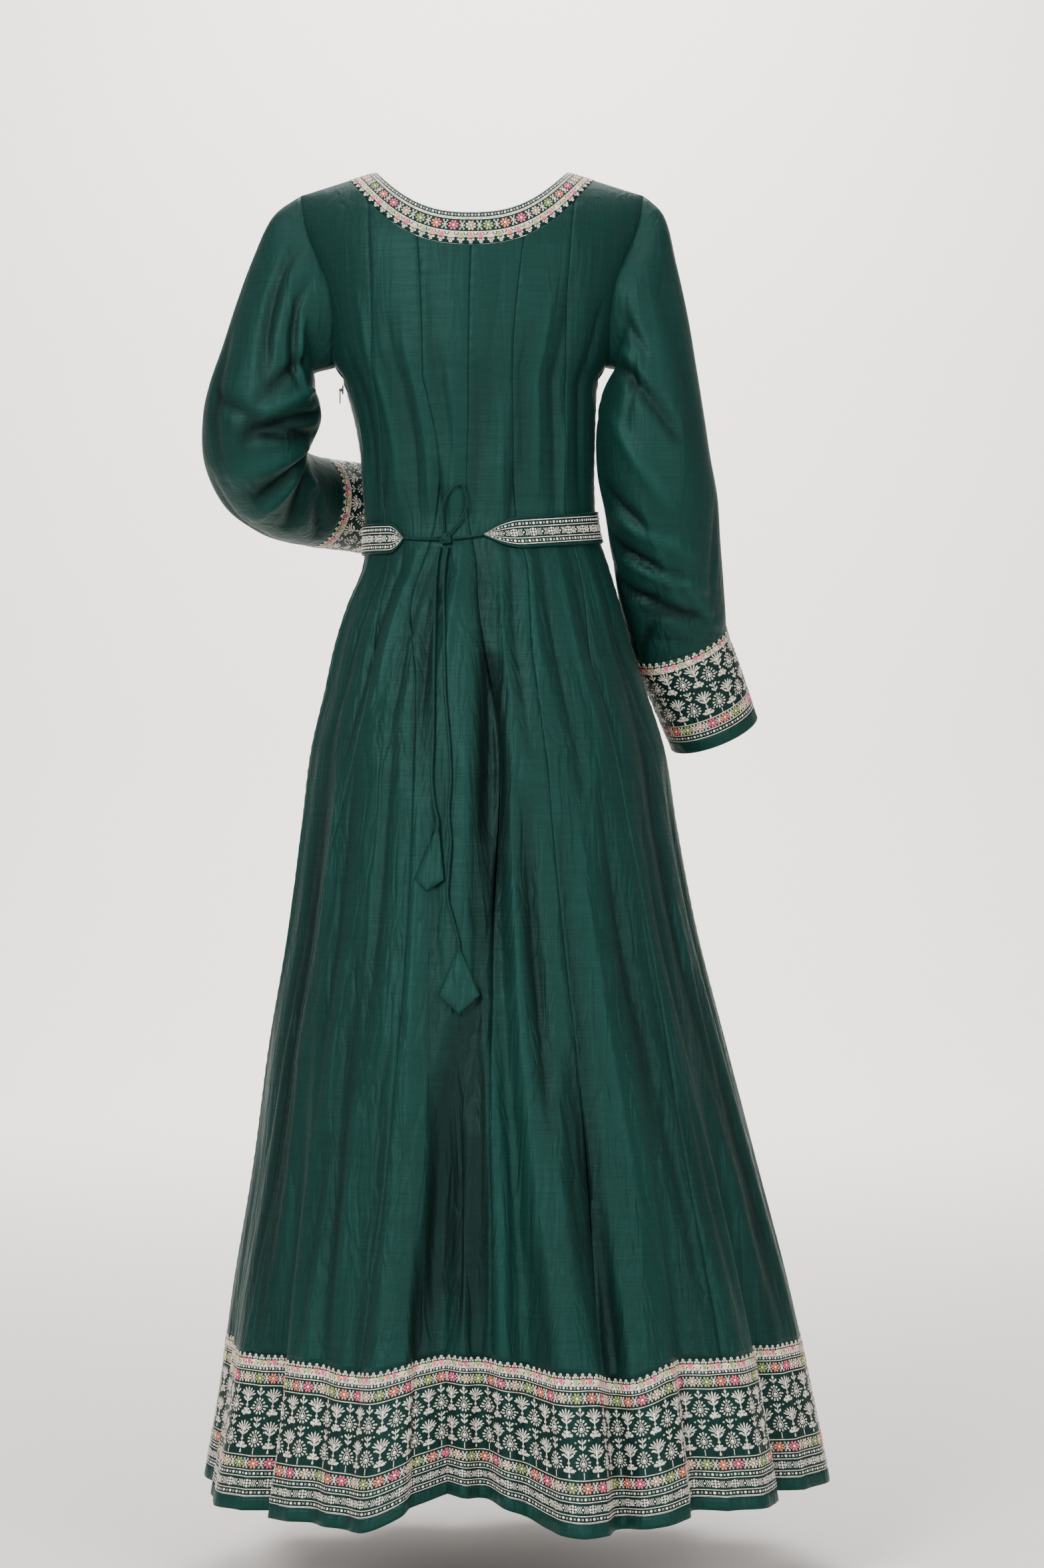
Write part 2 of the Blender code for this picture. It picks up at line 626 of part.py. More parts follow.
BELT_STEPS = 72
BELT_CROWDING = 0.6
BELT_SPAN = 360.0 - (BELT_ENDS["left"][0] - BELT_ENDS["right"][0])
belt_outer = []
belt_inner = []
belt_angles = []
for step in range(BELT_STEPS + 1):
    turn = 2 * math.pi * step / BELT_STEPS
    share = (turn - BELT_CROWDING * math.sin(turn)) / (2 * math.pi)
    belt_angles.append(BELT_ENDS["right"][0] - BELT_SPAN * share)
for share in (0.0, 1.0):
    for angle in belt_angles:
        turned = angle if angle > -270.0 else angle + 360.0
        part = 0.5 + (share - 0.5) * belt_narrowing(turned)
        belt_outer.append(belt_place(turned, part, BELT_OFFSET + BELT_CLOTH))
        belt_inner.append(belt_place(turned, part, BELT_OFFSET))
belt_shape = (2, BELT_STEPS + 1, 3)
wall("belt", np.reshape(belt_outer, belt_shape), np.reshape(belt_inner, belt_shape), BORDER)


# Tie cord
def back_place(x, z, lift):
    """Point on the back at x and z, moved out by lift."""
    low, high = -90.0, 90.0
    for _ in range(40):
        angle = 0.5 * (low + high)
        if body_point(angle, z)[0] < x:
            low = angle
        else:
            high = angle
    here = body_point(angle, z)
    normal = outward(body_point, angle, z, 0.5, 0.001, inside_point(here))
    return here + lift * normal


def cord(name, route, spacing=0.0090):
    """Round cord on a smooth curve through its route's points."""
    route = np.array(route)
    run = np.concatenate([[0.0], np.cumsum(np.linalg.norm(np.diff(route, axis=0), axis=1))])
    count = max(4, int(run[-1] / spacing))
    curve = bpy.data.curves.new(name, "CURVE")
    curve.dimensions = "3D"
    curve.bevel_depth = CORD_RADIUS
    curve.bevel_resolution = 2
    curve.use_fill_caps = True
    spline = curve.splines.new("POLY")
    spline.points.add(count)
    for k in range(count + 1):
        place = [hermite(run, route[:, axis], run[-1] * k / count) for axis in range(3)]
        spline.points[k].co = (*place, 1.0)
    thing = bpy.data.objects.new(name, curve)
    thing.data.materials.append(CORD)
    bpy.context.scene.collection.objects.link(thing)
    return thing


CORD_LIFT = CORD_RADIUS + CORD_OFF_CLOTH
knot_middle = back_place(*KNOT_PLACE, CORD_OFF_CLOTH + 0.5 * KNOT_SIZE[1])
bpy.ops.mesh.primitive_uv_sphere_add(segments=12, ring_count=8, radius=0.5, location=knot_middle)
knot = bpy.context.object
knot.name = "tie_knot"
knot.scale = KNOT_SIZE
bpy.ops.object.transform_apply(location=False, rotation=False, scale=True)
knot.data.materials.append(CORD)
knot.data.shade_smooth()

belt_lift = BELT_OFFSET + 0.5 * BELT_CLOTH
for label, sign in (("left", 1), ("right", -1)):
    tip = belt_place(BELT_ENDS[label][0], 0.5, belt_lift + 0.0009)
    reach = 0.5 * KNOT_SIZE[0] + 2 * SEAM_GAP
    beside = knot_middle + np.array((sign * reach, 0.0, 0.0))
    begin = tip + np.array((-sign * 2.0 * SEAM_GAP, 0.0, 0.0))
    middle = back_place(0.5 * (begin[0] + beside[0]), 0.5 * (begin[2] + beside[2]) - 0.0012, CORD_LIFT)
    cord(f"tie_cord_{label}", [begin, middle, beside], spacing=0.0065)

cord("tie_loop", [back_place(x, z, CORD_LIFT + 0.0030) for x, z in LOOP_ROUTE], spacing=0.0065)
for label, route in STRAND_ROUTES.items():
    cord(f"tie_strand_{label}", [back_place(x, z, CORD_LIFT) for x, z in route])


def kite(name, x, z, length, half, widest, drift):
    """Kite-shaped cloth piece that lies on the skirt under the end of its cord."""
    outer = []
    inner = []
    rows = (0.0, 0.3, 0.6, widest, 1.0)
    for row in rows:
        wide = half * (row / widest if row <= widest else (1 - row) / (1 - widest))
        wide = max(wide, 0.0012)
        for across in (-1.0, 0.0, 1.0):
            spot = (x + drift * row + across * wide, z - row * length)
            outer.append(back_place(*spot, CORD_OFF_CLOTH + KITE_THICK))
            inner.append(back_place(*spot, CORD_OFF_CLOTH))
    shape = (len(rows), 3, 3)
    return wall(name, np.reshape(outer, shape), np.reshape(inner, shape), EDGE)


for label, sizes in KITES.items():
    kite(f"tie_kite_{label}", *sizes)


# Zip slider and pull
def block(name, middle, size):
    bpy.ops.mesh.primitive_cube_add(size=1.0, location=middle)
    made = bpy.context.object
    made.name = name
    made.scale = size
    bpy.ops.object.transform_apply(location=False, rotation=False, scale=True)
    return made


def rod(middle, radius, length):
    """Round rod along Y."""
    bpy.ops.mesh.primitive_cylinder_add(vertices=12, radius=radius, depth=length, location=middle,
                                        rotation=(math.pi / 2, 0.0, 0.0))
    return bpy.context.object


def combine(target, other, operation):
    cut = target.modifiers.new("combine", "BOOLEAN")
    cut.operation = operation
    cut.object = other
    bpy.context.view_layer.objects.active = target
    bpy.ops.object.modifier_apply(modifier=cut.name)
    bpy.data.objects.remove(other, do_unlink=True)


zip_side = body_point(90.0, ZIP_LEVEL + 0.5 * SLIDER_SIZE[2])[0]
slider_x = zip_side + 2 * SEAM_GAP + 0.5 * SLIDER_SIZE[0]
pin_x = slider_x + 0.5 * SLIDER_SIZE[0] + EYE_OUTER + 2 * SEAM_GAP
slider = block("zip_slider", (slider_x, 0.0, ZIP_LEVEL), SLIDER_SIZE)
lug_end = pin_x + 2 * PIN_RADIUS
lug_size = (lug_end - slider_x, LUG_WIDTH, LUG_HEIGHT)
for sign in (1, -1):
    lug_y = sign * (0.5 * PULL_WIDTH + SEAM_GAP + 0.5 * LUG_WIDTH)
    combine(slider, block("lug", (0.5 * (lug_end + slider_x), lug_y, ZIP_LEVEL), lug_size), "UNION")
combine(slider, rod((pin_x, 0.0, ZIP_LEVEL), PIN_RADIUS, PULL_WIDTH + 2 * SEAM_GAP + LUG_WIDTH),
        "UNION")
slider.data.materials.append(ZIP)

pull = rod((pin_x, 0.0, ZIP_LEVEL), EYE_OUTER, PULL_WIDTH)
pull.name = "zip_pull"
bpy.ops.object.transform_apply(location=False, rotation=True, scale=False)
tab_top = ZIP_LEVEL - 0.5 * EYE_OUTER
tab = block("tab", (pin_x, 0.0, 0.5 * (tab_top + ZIP_LEVEL - PULL_LENGTH)),
            (PULL_THICK, PULL_WIDTH, tab_top - ZIP_LEVEL + PULL_LENGTH))
combine(pull, tab, "UNION")
combine(pull, rod((pin_x, 0.0, ZIP_LEVEL), EYE_RADIUS, 2 * PULL_WIDTH), "DIFFERENCE")
pull.data.materials.append(ZIP)
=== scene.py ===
import math
import bpy
import numpy as np
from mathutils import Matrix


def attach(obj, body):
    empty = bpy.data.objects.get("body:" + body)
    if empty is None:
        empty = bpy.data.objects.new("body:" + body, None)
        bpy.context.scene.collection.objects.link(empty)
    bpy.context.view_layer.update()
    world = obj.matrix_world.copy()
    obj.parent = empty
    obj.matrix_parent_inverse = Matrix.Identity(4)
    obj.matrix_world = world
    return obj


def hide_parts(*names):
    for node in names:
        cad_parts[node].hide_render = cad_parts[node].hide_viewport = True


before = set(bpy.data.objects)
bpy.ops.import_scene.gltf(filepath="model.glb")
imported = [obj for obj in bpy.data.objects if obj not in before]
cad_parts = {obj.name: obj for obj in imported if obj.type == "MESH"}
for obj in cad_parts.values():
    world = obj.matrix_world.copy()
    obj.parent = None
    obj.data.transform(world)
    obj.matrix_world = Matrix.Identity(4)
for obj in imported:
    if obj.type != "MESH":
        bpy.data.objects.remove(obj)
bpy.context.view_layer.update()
bpy.ops.object.select_all(action="DESELECT")

# View of the gown from behind, as it is shown: a level camera at half the gown's height, and a
# pale floor that runs up into the wall behind.
MM_PER_PIXEL = 0.683
PICTURE = (1568, 2355)
ORIGIN_PIXEL = (709, 265)
CAMERA_FAR = 3.6
FLOOR = -1.43
WALL_FAR = -6.0

camera_x = (ORIGIN_PIXEL[0] - PICTURE[0] / 2) * MM_PER_PIXEL / 1000
camera_z = (ORIGIN_PIXEL[1] - PICTURE[1] / 2) * MM_PER_PIXEL / 1000
bpy.ops.object.camera_add(location=(camera_x, CAMERA_FAR, camera_z),
                          rotation=(math.pi / 2, 0.0, math.pi))
camera = bpy.context.object
camera.data.sensor_fit = "VERTICAL"
camera.data.sensor_height = 36.0
camera.data.lens = 36.0 * CAMERA_FAR / (PICTURE[1] * MM_PER_PIXEL / 1000)
bpy.context.scene.camera = camera


class Wire:
    """A socket's output that takes arithmetic, so that a mask is written as a sum."""

    def __init__(self, tree, socket=None):
        self.tree = tree
        self.socket = socket

    def node(self, kind, settings=None, inputs=None, out=0):
        made = self.tree.nodes.new(kind)
        for key, value in (settings or {}).items():
            if key == "stops":
                ramp = made.color_ramp
                while len(ramp.elements) < len(value):
                    ramp.elements.new(0.5)
                for element, (place, colour) in zip(ramp.elements, value):
                    element.position = place
                    element.color = (*colour, 1.0)
            else:
                setattr(made, key, value)
        for key, value in (inputs or {}).items():
            if isinstance(value, Wire):
                self.tree.links.new(value.socket, made.inputs[key])
            else:
                made.inputs[key].default_value = value
        return Wire(self.tree, made.outputs[out])

    def maths(self, operation, first, second):
        return self.node("ShaderNodeMath", {"operation": operation}, {0: first, 1: second})

    def __add__(self, other):
        return self.maths("ADD", self, other)

    def __sub__(self, other):
        return self.maths("SUBTRACT", self, other)

    def __rsub__(self, other):
        return self.maths("SUBTRACT", other, self)

    def __mul__(self, other):
        return self.maths("MULTIPLY", self, other)

    __radd__ = __add__
    __rmul__ = __mul__

    def mix(self, low, high):
        """Colour that runs from low to high as this wire runs from 0 to 1."""
        settings = {"data_type": "RGBA"}
        ends = {0: self, 6: low if isinstance(low, Wire) else (*low, 1.0),
                7: high if isinstance(high, Wire) else (*high, 1.0)}
        return self.node("ShaderNodeMix", settings, ends, out=2)


def finish(name, fixed):
    """A material, its shader node and a wire to start from; fixed values go on the shader itself."""
    made = bpy.data.materials.new(name)
    made.use_nodes = True
    shader = made.node_tree.nodes["Principled BSDF"]
    for key, value in fixed.items():
        shader.inputs[key].default_value = value
    return made, shader, Wire(made.node_tree)


def join(wire, shader, name):
    wire.tree.links.new(wire.socket, shader.inputs[name])


def plain_finish(name, colour, rough, speckle):
    made, shader, wire = finish(name, {"Roughness": rough})
    place = wire.node("ShaderNodeTexCoord", out=3)
    cloud = wire.node("ShaderNodeTexNoise", None, {"Vector": place, "Scale": 3.0, "Detail": 3.0})
    join(cloud.mix(tuple(c * (1 - speckle) for c in colour), colour), shader, "Base Color")
    return made


bpy.ops.mesh.primitive_plane_add(size=1.0, location=(0.0, 0.0, FLOOR))
floor = bpy.context.object
floor.name = "floor"
bpy.ops.object.mode_set(mode="EDIT")
bpy.ops.transform.resize(value=(12.0, 12.0, 1.0))
bpy.ops.mesh.select_all(action="DESELECT")
bpy.ops.object.mode_set(mode="OBJECT")
for edge in floor.data.edges:
    edge.select = all(floor.data.vertices[v].co.y < 0 for v in edge.vertices)
bpy.ops.object.mode_set(mode="EDIT")
bpy.ops.transform.translate(value=(0.0, 6.0 + WALL_FAR, 0.0))
bpy.ops.mesh.extrude_region_move(TRANSFORM_OT_translate={"value": (0.0, -1.2, 0.35)})
bpy.ops.mesh.extrude_region_move(TRANSFORM_OT_translate={"value": (0.0, -0.35, 1.2)})
bpy.ops.mesh.extrude_region_move(TRANSFORM_OT_translate={"value": (0.0, 0.0, 6.0)})
bpy.ops.object.mode_set(mode="OBJECT")
bevel = floor.modifiers.new("round corner", "BEVEL")
bevel.width = 0.6
bevel.segments = 8
bevel.limit_method = "ANGLE"
bevel.angle_limit = math.radians(10)
floor.data.shade_smooth()
floor.data.materials.append(plain_finish("pale paper", (0.89, 0.845, 0.81), 0.9, 0.02))


def soft_light(name, place, aim, size, power, colour=(1.0, 1.0, 1.0)):
    bpy.ops.object.light_add(type="AREA", location=place)
    light = bpy.context.object
    light.name = name
    light.data.shape = "DISK"
    light.data.size = size
    light.data.energy = power
    light.data.color = colour
    away = np.array(place) - np.array(aim)
    flat = math.hypot(away[0], away[1])
    light.visible_camera = False
    light.rotation_euler = (math.atan2(flat, away[2]), 0.0, math.atan2(away[0], -away[1]))


soft_light("key", (1.6, 3.4, 1.1), (0.0, 0.0, -0.6), 1.5, 150)
soft_light("fill", (-1.7, 3.2, 0.3), (0.0, 0.0, -0.7), 1.5, 62)
soft_light("overhead", (0.0, 0.6, 2.6), (0.0, 0.0, -0.8), 2.4, 60)
soft_light("wall wash", (0.0, -4.8, 2.6), (0.0, -7.2, -0.4), 3.6, 400)
soft_light("floor wash", (0.0, -2.4, 2.9), (0.0, -3.4, -1.4), 3.0, 150)
world = bpy.data.worlds.new("studio")
world.use_nodes = True
world.node_tree.nodes["Background"].inputs["Color"].default_value = (1.0, 0.985, 0.975, 1.0)
world.node_tree.nodes["Background"].inputs["Strength"].default_value = 0.50
bpy.context.scene.world = world

# Twelve full-length kali panels of green raw silk, six behind and six in front, cut narrow at the
# bust and wide at the hem, with no waist seam. They are seamed together on the wrong side, and the
# extra width falls into folds that deepen towards the hem.
SHOULDER_TOP = 0.003
SHOULDER_SLOPE = 0.30
SHOULDER_ROUND = 0.090
NECK_INNER_HALF = 0.099
NECK_OUTER_HALF = 0.126
NECK_POWER = 2.5
NECK_LOW = {"back": (-0.049, -0.083), "front": (-0.128, -0.163)}
NECK_SEAM_HALF = (0.104, 0.054)
SECTION_POWER = 2.15
RING_LEVEL = -0.215
BORDER_TOP = -1.185
HEM = -1.335
SEAM_GAP = 0.0003
# Height, left and right side, back and front
BODY = np.array([
    (0.010, 0.186, -0.186, 0.080, -0.084), (-0.050, 0.178, -0.178, 0.087, -0.096),
    (-0.100, 0.165, -0.165, 0.091, -0.112), (-0.150, 0.152, -0.152, 0.093, -0.124),
    (-0.195, 0.142, -0.138, 0.0925, -0.128), (-0.215, 0.131, -0.129, 0.0910, -0.126),
    (-0.236, 0.1243, -0.1275, 0.0895, -0.122), (-0.277, 0.1155, -0.1262, 0.0860, -0.111),
    (-0.324, 0.1115, -0.1258, 0.0835, -0.098), (-0.365, 0.1095, -0.1290, 0.0830, -0.092),
    (-0.400, 0.1120, -0.1400, 0.0930, -0.097), (-0.440, 0.1280, -0.1520, 0.1080, -0.104),
    (-0.481, 0.1410, -0.1630, 0.1200, -0.110), (-0.522, 0.1500, -0.1765, 0.1300, -0.116),
    (-0.584, 0.1650, -0.1965, 0.1430, -0.126), (-0.666, 0.1755, -0.2100, 0.1550, -0.140),
    (-0.768, 0.1885, -0.2295, 0.1710, -0.158), (-0.891, 0.2090, -0.2610, 0.1930, -0.182),
    (-1.014, 0.2250, -0.2930, 0.2150, -0.206), (-1.137, 0.2450, -0.3250, 0.2400, -0.232),
    (-1.240, 0.2580, -0.3470, 0.2620, -0.254), (-1.340, 0.2760, -0.3670, 0.2830, -0.276),
])
# Height, then each back seam's degrees from the centre back
SEAMS = np.array([
    (-0.200, 90, 47.5, 20.0, 0.0, -18.0, -47.0, -90),
    (-0.365, 90, 53.5, 21.5, 4.5, -16.5, -46.5, -90),
    (-0.400, 90, 49.5, 28.0, 3.0, -17.5, -47.0, -90),
    (-0.522, 90, 43.5, 23.0, -2.0, -17.0, -43.0, -90),
    (-0.768, 90, 56.0, 21.5, -1.0, -18.5, -47.0, -88),
    (-1.014, 90, 60.0, 24.5, 2.5, -17.5, -43.0, -82),
    (-1.190, 90, 59.5, 28.5, 4.0, -16.0, -42.0, -76),
])
PANELS = 12
# Height and share of the body's half width
ARMHOLE = np.array([
    (-0.0200, 0.962), (-0.0570, 0.955), (-0.0870, 0.930), (-0.1170, 0.905),
    (-0.1500, 0.925), (-0.1780, 0.965), (-0.1970, 1.000),
])
NECK_SIDE_STEPS = 3
ARMHOLE_START = 5
SIDE_STEPS = ARMHOLE_START + len(ARMHOLE) - 1
# Degrees from the centre back, half width in degrees, height where it starts, depth at the hem
FOLDS = np.array([
    (-2.0, 4.5, -0.47, -0.028), (5.5, 7.0, -0.95, -0.046), (13.0, 5.5, -0.86, -0.048),
    (24.0, 7.0, -0.75, 0.012), (38.0, 5.0, -0.95, -0.010), (52.0, 5.0, -0.78, -0.026),
    (63.0, 6.0, -0.70, 0.010), (77.0, 5.0, -0.85, -0.016),
    (-10.0, 6.0, -0.80, 0.016), (-17.5, 4.0, -0.86, -0.016), (-25.0, 6.0, -0.80, 0.010),
    (-34.0, 5.0, -0.90, -0.022), (-46.0, 6.0, -0.80, 0.010), (-58.0, 6.0, -0.75, -0.034),
    (-72.0, 7.0, -0.70, 0.010), (-84.0, 6.0, -0.80, -0.014),
    (-100.0, 6.0, -0.70, 0.010), (-112.0, 7.0, -0.62, -0.030), (-125.0, 7.0, -0.75, 0.014),
    (-138.0, 6.0, -0.85, -0.026), (-150.0, 6.5, -0.70, 0.012), (-163.0, 7.0, -0.66, -0.034),
    (-176.0, 7.0, -0.80, 0.016), (-190.0, 6.5, -0.90, -0.026), (-203.0, 6.5, -0.72, 0.012),
    (-216.0, 7.0, -0.64, -0.032), (-229.0, 7.0, -0.78, 0.014), (-242.0, 6.0, -0.86, -0.022),
    (-254.0, 6.0, -0.74, 0.010), (-266.0, 5.0, -0.90, -0.012),
])
FOLD_GROWTH = 1.3
# Degrees from the centre back, half width in degrees, lift of the hem or drop of the border's top
HEM_LIFTS = np.array([
    (5.0, 15.0, 0.012), (13.0, 12.5, 0.024), (2.0, 8.0, 0.010), (86.0, 22.0, 0.010),
    (-34.0, 20.0, 0.012), (-58.0, 24.0, 0.014), (-84.0, 26.0, 0.018), (-150.0, 30.0, 0.006),
])
BORDER_TOP_FOLLOWS = 0.4
TOP_DROPS = np.array([(-20.0, 9.0, 0.010), (30.0, 12.0, 0.004)])


def curve_through(places, values):
    """Smooth curve through a table's points."""
    order = np.argsort(places)
    places = np.asarray(places, float)[order]
    values = np.asarray(values, float)[order]
    slope = np.gradient(values, places)

    def at(x):
        x = np.clip(x, places[0], places[-1])
        k = np.clip(np.searchsorted(places, x) - 1, 0, len(places) - 2)
        step = places[k + 1] - places[k]
        t = (x - places[k]) / step
        return ((2 * t**3 - 3 * t**2 + 1) * values[k] + (t**3 - 2 * t**2 + t) * step * slope[k]
                + (3 * t**2 - 2 * t**3) * values[k + 1] + (t**3 - t**2) * step * slope[k + 1])
    return at


left_side, right_side, back_depth, front_depth = [curve_through(BODY[:, 0], BODY[:, k])
                                                  for k in range(1, 5)]
seam_curves = [curve_through(SEAMS[:, 0], SEAMS[:, k]) for k in range(1, 8)]


def bump(angle, place, half):
    away = (angle - place + 180.0) % 360.0 - 180.0
    return np.where(np.abs(away) < half, 0.5 * (1 + np.cos(math.pi * away / half)), 0.0)


def fold_offset(angle, z):
    total = np.zeros(np.broadcast(angle, z).shape)
    for place, half, start, depth in FOLDS:
        grown = np.clip((start - z) / (start - HEM), 0.0, 1.0) ** FOLD_GROWTH
        total = total + depth * grown * bump(angle, place, half)
    return total


def body_point(angle, z):
    """Points of the body surface at degrees from the centre back, the wearer's left positive."""
    left = left_side(z)
    right = right_side(z)
    s = np.sin(np.radians(angle))
    c = np.cos(np.radians(angle))
    depth = np.where(c >= 0, back_depth(z), -front_depth(z))
    power = 2.0 / SECTION_POWER
    x = 0.5 * (left - right) * np.sign(s) * np.abs(s) ** power
    y = depth * np.sign(c) * np.abs(c) ** power
    out = 1 + fold_offset(angle, z) / np.maximum(1e-6, np.hypot(x, y))
    return np.stack(np.broadcast_arrays(0.5 * (left + right) + x * out, y * out, z), axis=-1)


def shoulder_height(x):
    return SHOULDER_TOP - SHOULDER_SLOPE * np.maximum(0.0, np.abs(x) - NECK_INNER_HALF)


def upper_point(x, z, back):
    """Points of the upper body at x and z, rounded over the shoulder."""
    half = np.where(x >= 0, left_side(z), -right_side(z))
    share = np.minimum(1.0, np.abs(x) / half)
    depth = back_depth(z) if back else -front_depth(z)
    depth = depth * (1 - share**SECTION_POWER) ** (1 / SECTION_POWER)
    below = np.clip((shoulder_height(x) - z) / SHOULDER_ROUND, 0.0, 1.0)
    y = np.maximum(depth * np.sqrt(1 - (1 - below) ** 2), 0.6 * SEAM_GAP)
    return np.stack(np.broadcast_arrays(x, y if back else -y, z), axis=-1)


def neck_height(x, back, edge):
    low = NECK_LOW["back" if back else "front"][edge]
    half = (NECK_INNER_HALF, NECK_OUTER_HALF)[edge]
    return low + (shoulder_height(half) - low) * np.minimum(1.0, np.abs(x) / half) ** NECK_POWER


def side_top(share, left):
    """Top edge of a side panel, from the neck (0) over the shoulder and down the armhole (1)."""
    step = share * SIDE_STEPS
    tip_half = ARMHOLE[0, 1] * float(left_side(ARMHOLE[0, 0]))
    if step <= NECK_SIDE_STEPS:
        turn = math.acos(NECK_SEAM_HALF[0] / NECK_OUTER_HALF)
        return NECK_OUTER_HALF * math.cos(turn * (1 - step / NECK_SIDE_STEPS)), None
    if step <= ARMHOLE_START:
        out = (step - NECK_SIDE_STEPS) / (ARMHOLE_START - NECK_SIDE_STEPS)
        x = NECK_OUTER_HALF + out * (tip_half - NECK_OUTER_HALF)
        return x, float(shoulder_height(x))
    rows = np.arange(len(ARMHOLE))
    z = float(curve_through(rows, ARMHOLE[:, 0])(step - ARMHOLE_START))
    half = float(left_side(z) if left else -right_side(z))
    return float(curve_through(rows, ARMHOLE[:, 1])(step - ARMHOLE_START)) * half, z


def top_place(g):
    """x, z and side of the panels' top edge at a place g round the body, 0 at the left side seam."""
    g = g % PANELS
    back = g <= PANELS / 2
    left = g < PANELS / 4 or g > 3 * PANELS / 4
    from_side = min(g, PANELS - g, abs(g - PANELS / 2))
    if from_side < 1:
        x, z = side_top(1 - from_side, left)
    else:
        x, z = float(np.interp(from_side, (1, 2, 3), (*NECK_SEAM_HALF, 0.0))), None
    if z is None:
        z = float(neck_height(x, back, 1))
    return (x if left else -x), z, back


def seam_angle(g, z):
    """Degrees from the centre back at places g and heights z."""
    rows = [curve(z) for curve in seam_curves]
    span = rows[6] + 270.0
    rows += [rows[6] - span * k / 6 for k in range(1, 7)]
    rows = np.stack(np.broadcast_arrays(*rows))
    g = np.asarray(g, float)
    turns = np.floor(g / PANELS)
    inside = np.broadcast_to(g - turns * PANELS, rows.shape[1:])
    k = np.minimum(inside.astype(int), PANELS - 1)
    low = np.take_along_axis(rows, k[None], axis=0)[0]
    high = np.take_along_axis(rows, k[None] + 1, axis=0)[0]
    return low + (inside - k) * (high - low) - 360.0 * turns


def border_level(g, share):
    """Height at a share of the border: 0 is its top seam, 1 the hem."""
    angle = seam_angle(g, np.full(np.shape(g), BORDER_TOP))
    lift = sum(height * bump(angle, place, half) for place, half, height in HEM_LIFTS)
    drop = sum(height * bump(angle, place, half) for place, half, height in TOP_DROPS)
    top = BORDER_TOP + BORDER_TOP_FOLLOWS * lift - drop
    return top + share * (HEM + lift - top)


def grid_normals(points, inside, around=False):
    """Normals of a grid of points, turned away from a line inside it."""
    if around:
        wide = np.concatenate([points[:, -1:], points, points[:, :1]], axis=1)
        across = wide[:, 2:] - wide[:, :-2]
    else:
        across = np.gradient(points, axis=1)
    normal = np.cross(across, np.gradient(points, axis=0))
    normal /= np.maximum(1e-12, np.linalg.norm(normal, axis=2, keepdims=True))
    facing = np.sign((normal * (points - inside)).sum(axis=2).mean())
    return normal * facing


def body_middle(points):
    z = np.minimum(points[..., 2], -0.12)
    return np.stack([0.5 * (left_side(z) + right_side(z)), 0 * z, z - 0.02], axis=-1)


def place_mesh(name, points, faces, material, uv=None):
    mesh = bpy.data.meshes.new(name)
    mesh.from_pydata(np.asarray(points).tolist(), [], np.asarray(faces).tolist())
    if uv is not None:
        layer = mesh.uv_layers.new(name="cloth")
        corner = np.zeros(len(mesh.loops), dtype=np.int32)
        mesh.loops.foreach_get("vertex_index", corner)
        layer.data.foreach_set("uv", np.asarray(uv, dtype=np.float32)[corner].ravel())
    mesh.materials.append(material)
    mesh.shade_smooth()
    piece = bpy.data.objects.new(name, mesh)
    bpy.context.scene.collection.objects.link(piece)
    return piece


def cloth_wall(name, outer, inner, material, around=False, fold=None):
    """Closed thin wall between two grids of points, with its length and width in metres as UV."""
    rows, columns = outer.shape[:2]
    index = np.arange(rows * columns).reshape(rows, columns)
    right = np.roll(index, -1, axis=1)
    if not around:
        index, right = index[:, :-1], right[:, :-1]
    skin = np.stack([index[:-1], right[:-1], right[1:], index[1:]], axis=-1).reshape(-1, 4)
    count = rows * columns
    faces = [skin, skin[:, ::-1] + count]
    for row, turn in ((0, 1), (rows - 1, -1)):
        a, b = index[row], right[row]
        faces.append(np.stack([a, a + count, b + count, b], axis=-1)[:, ::turn])
    if not around:
        for column, turn in ((0, -1), (columns - 1, 1)):
            a = np.arange(rows - 1) * columns + column
            b = a + columns
            faces.append(np.stack([a, a + count, b + count, b], axis=-1)[:, ::turn])
    faces = np.concatenate(faces)
    points = np.concatenate([outer.reshape(-1, 3), inner.reshape(-1, 3)])
    a, b, c = points[skin[len(skin) // 2, 0]], points[skin[len(skin) // 2, 1]], points[
        skin[len(skin) // 2, 2]]
    thick = points[skin[len(skin) // 2, 0] + count] - a
    if np.dot(np.cross(b - a, c - a), thick) > 0:
        faces = faces[:, ::-1]
    down = np.linalg.norm(np.diff(outer, axis=0), axis=2).mean(axis=1)
    wide = np.linalg.norm(np.diff(outer, axis=1), axis=2).mean(axis=0)
    v = np.concatenate([[0.0], np.cumsum(down)])
    u = np.concatenate([[0.0], np.cumsum(wide)])
    uv = np.stack(np.meshgrid(u, v), axis=-1).reshape(-1, 2)
    piece = place_mesh(name, points, faces, material, np.concatenate([uv, uv]))
    # Painted fold shade: each point's share of painted shade in the creases, negative where the
    # ridges are painted lighter.
    if fold is not None:
        layer = piece.data.attributes.new("fold", "FLOAT", "POINT")
        layer.data.foreach_set("value", np.tile(fold.ravel(), 2))
    return piece


SILK_SHINE = (0.35, 0.80, 0.70, 1.0)
# Shares of the silk's colour, channel by channel, in the painted shadow at the dark end of its colour
# mix.
SHADOW_SHARE = (0.50, 0.20, 0.24)


